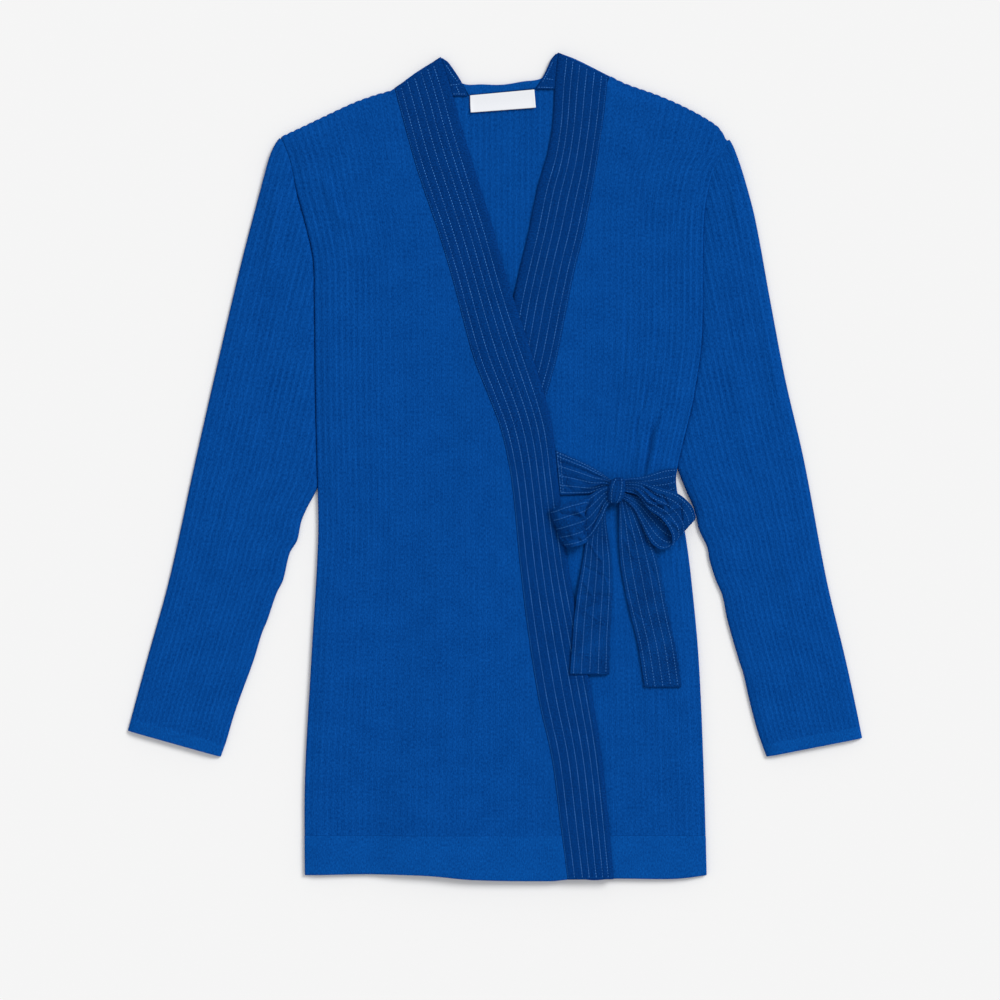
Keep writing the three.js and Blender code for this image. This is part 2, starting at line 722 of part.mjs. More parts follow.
// A plain turned hem under a panel, from one x to another
function hemStrip(fromX, toX, underside, wall) {
  const columns = evenPlaces(0, 1, 16);
  return clothWall({
    columns,
    plainColumns: sparse(columns, 2),
    rows: evenPlaces(0, 1, 2),
    pointAt: (u, t) => {
      const y = mix(hemAt(mix(fromX(hemFoot), toX(hemFoot), u)), hemTop, t);
      return [mix(fromX(y), toX(y), u), y];
    },
    upperZ: (x, y) => underside(x, y) + wall,
    lowerZ: underside,
  });
}

// A front band: stitched channels that run its length, each a little raised between its stitch lines.
function bandStrip(seamAt, edgeAt, seamEnd, edgeEnd, underside) {
  const columns = evenPlaces(0, 1, 2 * bandChannels);
  return clothWall({
    columns,
    plainColumns: sparse(columns, 7),
    rows: evenPlaces(0, 1, bandRows),
    pointAt: (u, t) => {
      const seamY = mix(hemAt(seamAt(hemFoot)), seamEnd, t);
      const edgeY = mix(hemAt(edgeAt(hemFoot)), edgeEnd, t);
      return [mix(seamAt(seamY), edgeAt(edgeY), u), mix(seamY, edgeY, u)];
    },
    upperZ: (x, y, u) =>
      underside(x, y) + bandWall + channelHeight * Math.abs(Math.sin(Math.PI * bandChannels * u)),
    lowerZ: underside,
  });
}

// Small flat pieces between two edge curves, from one y or x to another
function flatPiece({ columns, rows, pointAt, level, wall }) {
  const places = evenPlaces(0, 1, columns);
  return clothWall({
    columns: places,
    plainColumns: places,
    rows: evenPlaces(0, 1, rows),
    pointAt,
    upperZ: () => level + wall,
    lowerZ: () => level,
  });
}

// The end of a band, turned over the shoulder onto the back neck: the side nearer the neck follows
// the neckline, the other side runs along the band's free edge.
const rightTurn = [
  { y: 386.5, x: -49.4 },
  { y: 383.5, x: -45 },
  { y: 374, x: -38 },
  { y: 363.5, x: -31.5 },
  { y: 351.5, x: -26 },
];
const leftTurn = [
  { y: 391, x: 57.6 },
  { y: 386, x: 53.5 },
  { y: 377, x: 49.5 },
  { y: 368.5, x: 45 },
  { y: 358, x: 39 },
];
function bandEnd(turn, edgeAt, side) {
  const neckAt = curveOf(turn, "y", "x");
  return flatPiece({
    columns: 3,
    rows: 8,
    level: facingLevel,
    wall: facingWall,
    pointAt: (u, t) => {
      const y = mix(turn[0].y, turn[turn.length - 1].y, t);
      return [mix(edgeAt(y) + side * (seamGap + 0.1), neckAt(y), u), y];
    },
  });
}

// The facing's upper edge follows the back neck; its lower edge runs straight from end to end.
const facingEnds = {
  right: { top: -30.6, foot: -24.9, y: 352.4 },
  left: { top: 43.8, foot: 37.8, y: 358.6 },
};
function neckFacing() {
  const { right, left } = facingEnds;
  return flatPiece({
    columns: 10,
    rows: 2,
    level: facingLevel,
    wall: facingWall,
    pointAt: (u, t) => {
      const x = mix(mix(right.top, left.top, u), mix(right.foot, left.foot, u), t);
      return [x, mix(backNeckAt(x) - 0.2, mix(right.y, left.y, u), t)];
    },
  });
}

// A flattened tube: an upper and a lower wall joined by a fold at each side. Its far end is open. Its
// near end is open for the columns up to openTo and folded shut beyond.
function flatTube({ columns, plainColumns, openTo, rows, pointAt, upperZ, hollowZ }) {
  const skins = new Skins();
  const at = (inset, heightAt) => (f, t) => {
    const [x, y] = pointAt(f, t, inset);
    return [x, y, heightAt(x, y, f, t)];
  };
  const outTop = at(0, upperZ);
  const outBase = at(0, () => 0);
  const inTop = at(hollowInset, hollowZ);
  const inBase = at(hollowInset, () => knitWall);
  const nearColumns = columns;
  skins.skin(outTop, columns, rows, true);
  skins.skin(outBase, plainColumns, rows, false, { nearColumns });
  skins.skin(inTop, plainColumns, rows, false, { nearColumns });
  skins.skin(inBase, plainColumns, rows, true, { nearColumns });
  const wall = (upper, lower, places, turned) =>
    skins.wall(skins.line(upper, ...places), skins.line(lower, ...places), turned);
  // Folds, outside and inside
  const farFold = [[1], rows];
  const nearFold = [[0], [...rows].reverse()];
  wall(outTop, outBase, farFold);
  wall(outTop, outBase, nearFold);
  wall(inTop, inBase, farFold, true);
  wall(inTop, inBase, nearFold, true);
  // The open far end: rims of both walls, and the cut ends of both folds
  const cut = (column, row, outFirst) => {
    const pair = (out, inner) => {
      const ids = [out, inner].map((pointOf) => skins.line(pointOf, [column], [row])[0].id);
      return (outFirst ? ids : ids.reverse()).map((id, place) => ({ at: place, id }));
    };
    skins.wall(pair(outTop, inTop), pair(outBase, inBase));
  };
  const back = [...columns].reverse();
  const plainBack = [...plainColumns].reverse();
  skins.wall(skins.line(outTop, back, [1]), skins.line(inTop, plainBack, [1]));
  wall(inBase, outBase, [plainBack, [1]]);
  cut(1, 1, true);
  cut(0, 1, false);
  // The near end
  const open = columns.filter((f) => f <= openTo);
  const shut = columns.filter((f) => f >= openTo);
  cut(0, 0, true);
  wall(outTop, inTop, [open, [0]]);
  wall(inBase, outBase, [open, [0]]);
  cut(openTo, 0, false);
  if (openTo < 1) {
    wall(outTop, outBase, [shut, [0]]);
    wall(inTop, inBase, [shut, [0]], true);
  }
  return skins.geometry();
}

// A sleeve: its ribs run parallel to the outer fold, from the armhole or from under the body's side.
const sleeveEdgeZ = 2.3;
const sleeveRoundness = 4;
const sleevePuff = 2.5;
const sleeveSideRise = 1.2;
const sleeveWidth = 100;
const hollowInset = knitWall + 0.1;
const hollowFloor = knitWall + 0.25;
const armpitBlend = 8;
const tipReach = { start: 24, blend: 12 };
const foldBlend = 12;
function sleeveShape(sleeve, sideAt, sign, armpitY) {
  const outerAt = curveOf(sleeve.outer, "y", "x");
  const innerAt = curveOf(sleeve.inner, "y", "x");
  const endOuter = sleeve.cuff.outer + cuffRise;
  const endInner = sleeve.cuff.inner + cuffRise;
  // The rib at the share f of the tube's width, at the share q of its length
  const ribPoint = (f, q) => {
    const outerY = mix(sleeve.tip, endOuter, q);
    const innerY = mix(sleeve.tip - sleeveDrop, endInner, q);
    return [mix(outerAt(outerY), innerAt(innerY), f), mix(outerY, innerY, f)];
  };
  const openAt = (y) => ease((y - armpitY) / armpitBlend + 0.5);
  const gapAt = (y) => sleeveGap + sleeveTipGap * ease((y - sleeve.tip + tipReach.start) / tipReach.blend);
  const starts = new Map();
  const startOf = (f, inset) => {
    const id = f + ":" + inset;
    if (!starts.has(id)) {
      const isOut = (q) => {
        const [x, y] = ribPoint(f, q);
        const limit = gapAt(y) + inset * (1 - openAt(y));
        return sign * (x - sideAt(y)) > limit;
      };
      starts.set(id, isOut(0) ? 0 : crossing(0, 0.95, isOut));
    }
    return starts.get(id);
  };
  // The hollow keeps the inset clear of both folds
  const shareOf = (f, inset) => mix(inset / sleeveWidth, 1 - inset / sleeveWidth, f);
  const pointAt = (f, t, inset) => {
    const share = shareOf(f, inset);
    return ribPoint(share, mix(startOf(share, inset), 1, t));
  };
  const roundedZ = (x, y, f) => {
    const width = Math.abs(outerAt(y) - innerAt(y));
    const fromFold = Math.min(f, 1 - f) * width;
    const fromSide = Math.max(0, sign * (x - sideAt(y)) - gapAt(y));
    const sideRise = sleeveSideRise * openAt(y);
    const rise = (distance) => 1 - Math.exp(-distance / sleeveRoundness);
    const atFold = sleeveEdgeZ + sleevePuff * rise(fromFold);
    const atSide = sleeveEdgeZ + sideRise + (sleevePuff - sideRise) * rise(fromSide);
    return Math.min(atFold + sideRise, atSide);
  };
  const topZ = (x, y, f) => {
    const fromFold = Math.min(f, 1 - f) * sleeveWidth;
    return roundedZ(x, y, f) + ease(fromFold / foldBlend) * foldHeight(sleeveFolds, x, y);
  };
  const hollowZ = (x, y, f) => Math.max(hollowFloor, topZ(x, y, f) - knitWall);
  return { pointAt, shareOf, topZ, hollowZ, ribPoint, outerAt, innerAt };
}

function sleeveTube(shape, armpitY) {
  const columns = evenPlaces(0, 1, 2 * sleeveRibs);
  const plainColumns = sparse(columns, 4);
  // The plain column nearest the armpit ends the armhole
  const heightOfStart = (f) => Math.abs(shape.pointAt(f, 0, 0)[1] - armpitY);
  const openTo = plainColumns.reduce((best, f) => (heightOfStart(f) < heightOfStart(best) ? f : best));
  const relief = (f) => ribHeight * Math.abs(Math.sin(Math.PI * sleeveRibs * f));
  return flatTube({
    columns,
    plainColumns,
    openTo,
    rows: evenPlaces(0, 1, sleeveRows),
    pointAt: shape.pointAt,
    upperZ: (x, y, f) => shape.topZ(x, y, f) + relief(f),
    hollowZ: shape.hollowZ,
  });
}

function cuffTube(sleeve, shape) {
  const columns = evenPlaces(0, 1, 12);
  const outerY = sleeve.cuff.outer;
  const innerY = sleeve.cuff.inner;
  const edge = { outer: [shape.outerAt(outerY), outerY], inner: [shape.innerAt(innerY), innerY] };
  return flatTube({
    columns,
    plainColumns: sparse(columns, 2),
    openTo: 1,
    rows: [0, 1],
    pointAt: (f, t, inset) => {
      const share = shape.shareOf(f, inset);
      const near = shape.ribPoint(share, 1);
      const end = [mix(edge.outer[0], edge.inner[0], share), mix(edge.outer[1], edge.inner[1], share)];
      const length = Math.hypot(end[0] - near[0], end[1] - near[1]);
      const along = mix(seamGap / length, 1, t);
      return [mix(near[0], end[0], along), mix(near[1], end[1], along)];
    },
    upperZ: shape.topZ,
    hollowZ: shape.hollowZ,
  });
}

// A strip of cloth through sections: a smooth surface between the a and the b edges, thickened to the
// side that grow points to (1 for left of its run, -1 for right).
function clothStrip(sections, { steps, columns, wall, grow, arch = 0 }) {
  const along = sections.map((row, i) => ({ ...row, at: i }));
  const curves = ["ax", "ay", "az", "bx", "by", "bz"].map((name) => curveOf(along, "at", name));
  const last = sections.length - 1;
  const pointAt = (s, u) => {
    const [ax, ay, az, bx, by, bz] = curves.map((curve) => curve(s));
    return new THREE.Vector3(mix(ax, bx, u), mix(ay, by, u), mix(az, bz, u) + arch * Math.sin(Math.PI * u));
  };
  const small = 1e-3;
  const normalAt = (s, u) => {
    const lengthways = pointAt(Math.min(last, s + small), u).sub(pointAt(Math.max(0, s - small), u));
    const across = pointAt(s, Math.min(1, u + small)).sub(pointAt(s, Math.max(0, u - small)));
    return lengthways.cross(across).normalize().multiplyScalar(grow);
  };
  const rowCount = last * steps;
  const rowPlaces = evenPlaces(0, last, rowCount);
  const columnPlaces = evenPlaces(0, 1, columns);
  const skins = new Skins();
  const at = (thickness) => (u, s) => pointAt(s, u).addScaledVector(normalAt(s, u), thickness).toArray();
  const outer = at(wall);
  const inner = at(0);
  skins.skin(outer, columnPlaces, rowPlaces, true);
  skins.skin(inner, columnPlaces, rowPlaces, false);
  const rim = (...places) => skins.wall(skins.line(outer, ...places), skins.line(inner, ...places));
  rim(columnPlaces, [0]);
  rim([...columnPlaces].reverse(), [last]);
  rim([1], rowPlaces);
  rim([0], [...rowPlaces].reverse());
  return skins.geometry();
}

// The knot: a rounded block with shallow pleats that run over it from top to bottom.
function knotBlock() {
  const geometry = new THREE.SphereGeometry(1, 18, 10);
  const position = geometry.getAttribute("position");
  const squared = (value, power) => Math.sign(value) * Math.abs(value) ** power;
  for (let i = 0; i < position.count; i++) {
    const [x, y, z] = [position.getX(i), position.getY(i), position.getZ(i)];
    const pleat = 1 - (knot.pleatDepth / knot.halfZ) * Math.sin(Math.PI * knot.pleats * x) ** 2 * (1 - y * y);
    position.setXYZ(
      i,
      knot.x + knot.halfX * squared(x, 0.75) + knot.lean * y,
      knot.y + knot.halfY * squared(y, 0.8),
      knot.z + knot.halfZ * squared(z, 0.8) * pleat,
    );
  }
  geometry.deleteAttribute("normal");
  geometry.deleteAttribute("uv");
  return geometry;
}

const cardigan = new THREE.Group();
const knit = new THREE.MeshStandardMaterial({ color: knitBlue, roughness: 0.9, metalness: 0 });
const turned = new THREE.MeshStandardMaterial({ color: hemBlue, roughness: 0.9, metalness: 0 });
const woven = new THREE.MeshStandardMaterial({ color: bandBlue, roughness: 0.7, metalness: 0 });
const label = new THREE.MeshStandardMaterial({ color: labelWhite, roughness: 0.6, metalness: 0 });

function add(name, geometry, material) {
  const mesh = new THREE.Mesh(geometry, material);
  mesh.name = name;
  cardigan.add(mesh);
}

const beside = (curve, gap) => (y) => curve(y) + gap;
const bandLeft = bandStrip(leftBandSeamAt, leftBandEdgeAt, bandTop.leftSeam, bandTop.leftEdge, underLayer);
const bandRight = bandStrip(rightBandSeamAt, rightBandEdgeAt, bandTop.rightSeam, bandTop.rightEdge, overLayer);
const strap = { steps: 2, columns: 5, wall: tieWall, grow: 1, arch: 0.8 };
const loop = { steps: 2, columns: 5, wall: tieWall, grow: 1 };
const tail = { steps: 2, columns: 6, wall: tieWall, grow: 1 };
add("back_panel", backPanel(), knit);
add("back_hem", hemStrip(rightSideAt, leftSideAt, () => 0, knitWall), turned);
add("front_panel_left", frontPanelLeft(), knit);
add("front_hem_left", hemStrip(beside(leftBandSeamAt, seamGap), leftSideAt, underLayer, knitWall), turned);
add("front_panel_right", frontPanelRight(), knit);
add("front_hem_right", hemStrip(rightSideAt, beside(rightBandSeamAt, -seamGap), overLayer, knitWall), turned);
add("band_left", bandLeft, woven);
add("band_right", bandRight, woven);
add("band_end_right", bandEnd(rightTurn, rightBandEdgeAt, 1), woven);
add("band_end_left", bandEnd(leftTurn, leftBandEdgeAt, -1), woven);
add("neck_facing", neckFacing(), turned);
add("neck_label", clothStrip(labelRows, { steps: 2, columns: 4, wall: labelWall, grow: 1 }), label);
const rightSleeveShape = sleeveShape(rightSleeve, rightSideAt, -1, armpit.right);
const leftSleeveShape = sleeveShape(leftSleeve, leftSideAt, 1, armpit.left);
add("sleeve_right", sleeveTube(rightSleeveShape, armpit.right), knit);
add("sleeve_left", sleeveTube(leftSleeveShape, armpit.left), knit);
add("cuff_right", cuffTube(rightSleeve, rightSleeveShape), turned);
add("cuff_left", cuffTube(leftSleeve, leftSleeveShape), turned);
add("tie_strap_right", clothStrip(strapFromBand, strap), woven);
add("tie_strap_left", clothStrip(strapFromSide, strap), woven);
add("bow_loop_right", clothStrip(loopOverBand, loop), woven);
add("bow_loop_left", clothStrip(loopOverHip, loop), woven);
add("tie_tail_right", clothStrip(tailOverBand, tail), woven);
add("tie_tail_left", clothStrip(tailOverHip, tail), woven);
add("tie_knot", knotBlock(), woven);

export default cardigan;
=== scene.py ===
import math

import bpy
import numpy as np
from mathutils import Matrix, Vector


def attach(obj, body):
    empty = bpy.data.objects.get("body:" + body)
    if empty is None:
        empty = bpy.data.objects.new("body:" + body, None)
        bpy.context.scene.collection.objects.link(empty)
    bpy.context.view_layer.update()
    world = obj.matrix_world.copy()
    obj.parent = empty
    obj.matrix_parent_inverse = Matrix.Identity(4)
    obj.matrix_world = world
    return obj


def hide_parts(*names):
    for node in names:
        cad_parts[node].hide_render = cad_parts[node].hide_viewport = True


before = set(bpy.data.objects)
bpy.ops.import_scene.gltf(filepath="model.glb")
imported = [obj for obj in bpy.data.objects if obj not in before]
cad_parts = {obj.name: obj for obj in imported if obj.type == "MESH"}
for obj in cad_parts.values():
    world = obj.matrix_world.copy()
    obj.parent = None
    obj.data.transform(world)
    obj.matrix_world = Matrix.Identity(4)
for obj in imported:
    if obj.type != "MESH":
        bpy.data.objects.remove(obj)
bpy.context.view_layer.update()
mm = 0.001

cloth = {
    "knitWall": 1.5,
    "bandWall": 2.0,
    "facingWall": 1.1,
    "tieWall": 1.2,
    "labelWall": 0.7,
    "layerGap": 0.5,
    "ribPitch": 5.7,
    "ribHeight": 0.4,
    "channelHeight": 0.45,
    "puffHeight": 1.5,
    "puffReach": 15.0,
    "swellHeight": 0.35,
    "swellWaves": (150.0, 255.0),
    "swellSlants": (0.6, 0.4),
}
frontLevel = cloth["knitWall"] + cloth["layerGap"]
facingLevel = 2.25
wrap = {
    "rise": 3.05,  # the right front climbs over the left one
    "reach": 45.0,
    "lead": 8.0,
    "dropReach": 25.0,  # in the open neck the fronts lie down on the back towards their edges
    "dropFrom": 110.0,
    "dropOver": 50.0,
}

# Lines of the cardigan: (y, x) down the sides and bands, (x, y) along shoulders, neck and hem
outline = {
    "rightSide": [
        (-392, -180), (-298, -180), (-184, -174), (-70, -167.5), (-18, -168), (70, -170),
        (158, -171), (196, -172), (227, -178.5), (256, -186.5), (291, -195), (312, -203), (400, -236),
    ],
    "leftSide": [
        (-392, 200.5), (-298, 198), (-184, 193), (-108, 186), (-66, 180.5), (-32, 174), (-12, 171.5),
        (12, 175.5), (55, 186), (79, 190.5), (110, 195), (142, 196.7), (208, 197), (246, 199),
        (269, 203.5), (283, 208), (296, 216), (308, 220.5), (400, 252),
    ],
    "rightShoulder": [
        (-230, 297), (-203, 312), (-180, 323), (-157, 334), (-133, 345), (-115, 351.5), (-95, 358),
        (-83, 368), (-65, 380), (-51, 388),
    ],
    "leftShoulder": [
        (60, 392.5), (77, 386), (107, 371), (123, 363), (155, 351.5), (180, 340.5), (201, 329),
        (213, 320), (220.5, 308), (240, 290),
    ],
    "backNeck": [
        (-51, 388), (-45, 383.5), (-38, 374), (-31.5, 363.5), (-12, 362.3), (7, 362), (26, 365),
        (45, 368.5), (49.5, 377), (53.5, 386), (60, 392.5),
    ],
    "hem": [
        (-181, -387.5), (-117, -386.5), (-64, -387.7), (-20, -391.5), (53, -392.5), (76, -390.5),
        (94, -392), (113, -390.5), (170, -390.8), (201, -387.6),
    ],
    "hemTop": -350.5,
    "hemLevel": -391.0,
    "armpit": {"right": 158.0, "left": 142.0},
}
bands = {
    "rightSeam": [
        (-391, 68.5), (-339, 61.8), (-276, 53.5), (-222, 41.4), (-159, 31.4), (-96, 23.8),
        (-13, 15.4), (34, 5.6), (63, -5), (103, -20.6), (177, -40.4), (225, -55), (281, -74),
        (329, -87.5), (364, -96.6), (388, -102),
    ],
    "rightEdge": [
        (-391, 112.2), (-339, 107.4), (-276, 100.8), (-222, 92.6), (-159, 80.8), (-96, 69.4),
        (-13, 59.4), (34, 54.4), (63, 47.6), (103, 35.4), (177, 11.4), (225, -2.2), (281, -19.6),
        (329, -34.2), (364, -43.6), (388, -51.6),
    ],
    "leftSeam": [
        (-391, -26), (-222, -5), (-96, 14), (-13, 29), (63, 47.5), (103, 58.6), (158, 69.6),
        (190, 76.4), (221, 84.2), (266, 93), (297, 98), (326, 102.4), (366, 106.8), (392, 109),
    ],
    "leftEdge": [
        (-391, -72), (-222, -51), (-96, -32), (-13, -17), (63, 1), (103, 8.4), (158, 17.2),
        (190, 24.2), (221, 31.6), (266, 40.8), (297, 50), (326, 54.8), (366, 57.2), (392, 60),
    ],
    "tops": {"rightSeam": 358.5, "rightEdge": 388.0, "leftSeam": 370.0, "leftEdge": 392.5},
    "width": 46.0,
    "ripple": 0.1,
    "rippleWaves": (31.0, 83.0, 9.0),  # two lengths along the band, and how much the first leans across it
    "seamLine": 0.022,
    # shares of the width where the stitch lines run, at the hem and from the crossing upwards, and from
    # which share of the height and over how much of it they change
    "linesLow": [0.16, 0.33, 0.48, 0.63, 0.77, 0.89],
    "linesHigh": [0.125, 0.27, 0.42, 0.565, 0.70, 0.825],
    "linesChange": (0.25, 0.4),
}

# Soft folds: a bent line of (x, y) places, and (reach, height) of the bells that make up its section
folds = {
    "under": [
        ([(136, -24), (145.5, 16), (147.6, 31.4), (152, 40), (161, 58)], [(2.8, -1.9)]),
        ([(141.6, -26), (150.8, 16), (152.8, 31.4), (157.2, 40), (167, 60)], [(4.0, 3.1)]),
        ([(132, -12), (138.5, 16), (140.4, 34)], [(3.6, 1.2)]),
        ([(131, -8), (133.4, 18), (134.2, 43.7), (139.6, 55), (142.6, 69.4), (149, 82), (158.6, 94),
          (162, 122)], [(5.0, 1.5), (2.0, -2.1)]),
        ([(136.5, 34), (144, 54), (151, 69.4), (156, 84)], [(4.0, 1.0), (1.9, -1.7)]),
        ([(121, 60), (122, 96), (124.5, 129), (123.5, 172)], [(5.0, 1.0), (2.2, -1.4)]),
        ([(148, 96), (153, 120), (156, 156)], [(4.0, 0.8), (2.0, -1.2)]),
        ([(112, 14), (114, 78)], [(4.5, 0.7), (2.0, -1.0)]),
        ([(168, 2), (176, 36), (186, 76)], [(5.0, 0.8), (2.4, -1.1)]),
        ([(177, -56), (172, -82), (170, -116)], [(5.0, 1.1), (1.9, -1.5)]),
        ([(150, -205), (150, -290)], [(6.0, 0.8), (2.5, -0.9)]),
    ],
    "over": [
        ([(5.5, -76), (0.5, -118)], [(6.0, 0.8)]),
        ([(-13.4, -194), (-18.6, -244)], [(7.0, 0.9)]),
        ([(-42.4, -226), (-47.6, -292)], [(8.0, 0.9)]),
        ([(-164, 286), (-156, 256), (-138, 218)], [(6.0, 1.5)]),
        ([(-186, 268), (-176, 236), (-166, 200)], [(3.5, 0.8)]),
    ],
    "sleeves": [
        ([(-205, 274), (-210, 220), (-217, 158)], [(6.0, 1.8)]),
        ([(-248, -10), (-256, -66), (-269, -120)], [(9.0, 1.2)]),
        ([(-222, 60), (-232, 10), (-246, -40)], [(8.0, 0.9)]),
        ([(225, 280), (228, 250), (233, 214)], [(5.0, 1.6)]),
        ([(252, 172), (262, 110), (277, 34)], [(7.0, 1.6)]),
        ([(266, -50), (276, -100), (290, -160)], [(9.0, 1.1)]),
        ([(222, 120), (236, 40), (244, -20)], [(8.0, 0.9)]),
    ],
}
foldTaper = 0.35  # the share of its length over which a fold fades at each end


def ease(value):
    t = np.clip(value, 0.0, 1.0)  # smooth from 0 to 1
    return t * t * (3 - 2 * t)


def mix(a, b, t):
    return a + (b - a) * t


def bell(value, reach):
    # 1 at zero, fading on both sides as e to the minus square of value over reach
    return np.exp(-((value / reach) ** 2))


def joined(*columns):
    # coordinates side by side, each stretched to the shape of all
    return np.stack(np.broadcast_arrays(*columns), -1)


def upward(count):
    return np.tile([0.0, 0.0, 1.0], (count, 1))


def unit(vectors):
    return vectors / np.maximum(np.linalg.norm(vectors, axis=-1, keepdims=True), 1e-9)


def curveThrough(pairs):
    # a smooth line through (key, value) pairs: cubic pieces whose slope at each pair is that of the
    # chord between its neighbours, carried on straight beyond both ends
    keys, values = np.array(sorted(pairs), float).T
    slopes = np.gradient(values, keys)
    slopes[1:-1] = (values[2:] - values[:-2]) / (keys[2:] - keys[:-2])

    def at(x):
        x = np.asarray(x, float)
        i = np.clip(np.searchsorted(keys, x) - 1, 0, len(keys) - 2)
        span = keys[i + 1] - keys[i]
        t = np.clip((x - keys[i]) / span, 0, 1)
        bent = (
            values[i] * (2 * t**3 - 3 * t**2 + 1)
            + slopes[i] * span * (t**3 - 2 * t**2 + t)
            + values[i + 1] * (3 * t**2 - 2 * t**3)
            + slopes[i + 1] * span * (t**3 - t**2)
        )
        return bent + np.minimum(x - keys[0], 0) * slopes[0] + np.maximum(x - keys[-1], 0) * slopes[-1]

    return at


def edgeLines(sections, s):
    # the six coordinates of a strip's two edges at s, smooth through its numbered sections
    columns = np.array(sections, float).T
    return [curveThrough(list(enumerate(column)))(s) for column in columns]


def firstPast(low, high, isPast):
    # for all entries at once: the first place between low and high where the test holds, by halving
    a = np.array(low, float)
    b = np.array(high, float)
    for _ in range(40):
        middle = (a + b) / 2
        past = isPast(middle)
        b = np.where(past, middle, b)
        a = np.where(past, a, middle)
    return b


rightSideX = curveThrough(outline["rightSide"])
leftSideX = curveThrough(outline["leftSide"])
rightShoulderY = curveThrough(outline["rightShoulder"])
leftShoulderY = curveThrough(outline["leftShoulder"])
backNeckY = curveThrough(outline["backNeck"])
hemY = curveThrough(outline["hem"])
rightSeamX = curveThrough(bands["rightSeam"])
rightEdgeX = curveThrough(bands["rightEdge"])
leftSeamX = curveThrough(bands["leftSeam"])
leftEdgeX = curveThrough(bands["leftEdge"])
rightArmpitX = float(rightSideX(outline["armpit"]["right"]))
leftArmpitX = float(leftSideX(outline["armpit"]["left"]))


def topLineY(x):
    # shoulders outside, back neck between their peaks
    neckEnds = outline["backNeck"][0][0], outline["backNeck"][-1][0]
    inner = np.where(x >= neckEnds[1], leftShoulderY(x), backNeckY(x))
    return np.where(x <= neckEnds[0], rightShoulderY(x), inner)


def fromSides(x, y):
    # how far a place lies inside the nearer side of the body
    return np.minimum(x - rightSideX(y), leftSideX(y) - x)


def ribX(r, y):
    # a rib stands at r below the armpits and leans with the sides, less so towards the front edge
    leftInner = mix(78.0, 62.0, ease((y - 90) / 160))
    rightInner = -20.0
    rightShare = np.clip((rightInner - r) / (rightInner - rightArmpitX), 0, 1)
    leftShare = np.clip((r - leftInner) / (leftArmpitX - leftInner), 0, 1)
    return r + rightShare * (rightSideX(y) - rightArmpitX) + leftShare * (leftSideX(y) - leftArmpitX)


def foldHeight(group, x, y):
    # each fold is a sum of bells over the distance from its line, and tapers towards both ends of it
    x, y = np.broadcast_arrays(x, y)
    height = np.zeros(x.shape)
    for places, bells in folds[group]:
        done = 0.0
        total = sum(math.dist(p, q) for p, q in zip(places, places[1:]))
        nearest = np.full(x.shape, np.inf)
        along = np.zeros(x.shape)
        for (x1, y1), (x2, y2) in zip(places, places[1:]):
            length = math.hypot(x2 - x1, y2 - y1)
            share = np.clip(((x - x1) * (x2 - x1) + (y - y1) * (y2 - y1)) / length**2, 0, 1)
            away = np.hypot(x - mix(x1, x2, share), y - mix(y1, y2, share))
            along = np.where(away < nearest, done + share * length, along)
            nearest = np.minimum(nearest, away)
            done += length
        taper = foldTaper * total
        ends = ease(along / taper) * ease((total - along) / taper)
        for reach, peak in bells:
            height = height + peak * ends * bell(nearest, reach)
    return height


def liftZ(x, y):
    # cloth on cloth: down at the sides and shoulders, soft and uneven inside where two long waves cross
    reach = cloth["puffReach"]
    inside = ease(fromSides(x, y) / reach) * ease((topLineY(x) - y) / reach)
    (waveX, waveY), (slantX, slantY) = cloth["swellWaves"], cloth["swellSlants"]
    swell = np.sin(2 * np.pi * (x + slantX * y) / waveX) + np.sin(2 * np.pi * (y - slantY * x) / waveY)
    return inside * (cloth["puffHeight"] + cloth["swellHeight"] * swell)


def neckDrop(fromEdge, y):
    # 1 below the open neck; in it, from 0 at the front's edge up to 1
    return mix(1.0, ease(fromEdge / wrap["dropReach"]), ease((y - wrap["dropFrom"]) / wrap["dropOver"]))


def floorZ(x, y):
    return 0.0 * x


def underZ(x, y):
    # the left front's inner side, never lower than the back under it
    lift = liftZ(x, y) * neckDrop(x - leftEdgeX(y), y)
    return np.maximum(frontLevel, frontLevel + lift + foldHeight("under", x, y))


def overZ(x, y):
    # the right front's inner side, which climbs as it passes the left front's edge
    past = x - leftEdgeX(y) + wrap["reach"] + wrap["lead"]
    lift = liftZ(x, y) * neckDrop(rightEdgeX(y) - x, y)
    return frontLevel + lift + wrap["rise"] * ease(past / wrap["reach"]) + foldHeight("over", x, y)


def ridges(turns):
    # round ridges, one to each whole turn, between narrow furrows
    return np.abs(np.sin(np.pi * turns)) ** 0.8


# Meshes
def makePiece(name, points, faces, uv, material, node=None, fields=None):
    # points in millimetres; uv in millimetres of cloth, across and along
    mesh = bpy.data.meshes.new(name)
    mesh.from_pydata((points * mm).tolist(), [], [list(face) for face in faces])
    mesh.polygons.foreach_set("use_smooth", np.ones(len(mesh.polygons), bool))
    corners = np.empty(len(mesh.loops), np.int32)
    mesh.loops.foreach_get("vertex_index", corners)
    layer = mesh.uv_layers.new(name="cloth")
    layer.data.foreach_set("uv", (uv[corners] * mm).astype(np.float32).ravel())
    for field, values in (fields or {}).items():
        attribute = mesh.attributes.new(field, "FLOAT", "POINT")
        attribute.data.foreach_set("value", np.asarray(values, np.float32).ravel())
    mesh.materials.append(material)
    mesh.update()
    piece = bpy.data.objects.new(name, mesh)
    bpy.context.scene.collection.objects.link(piece)
    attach(piece, "root")
    if node:
        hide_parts(node)
    return piece


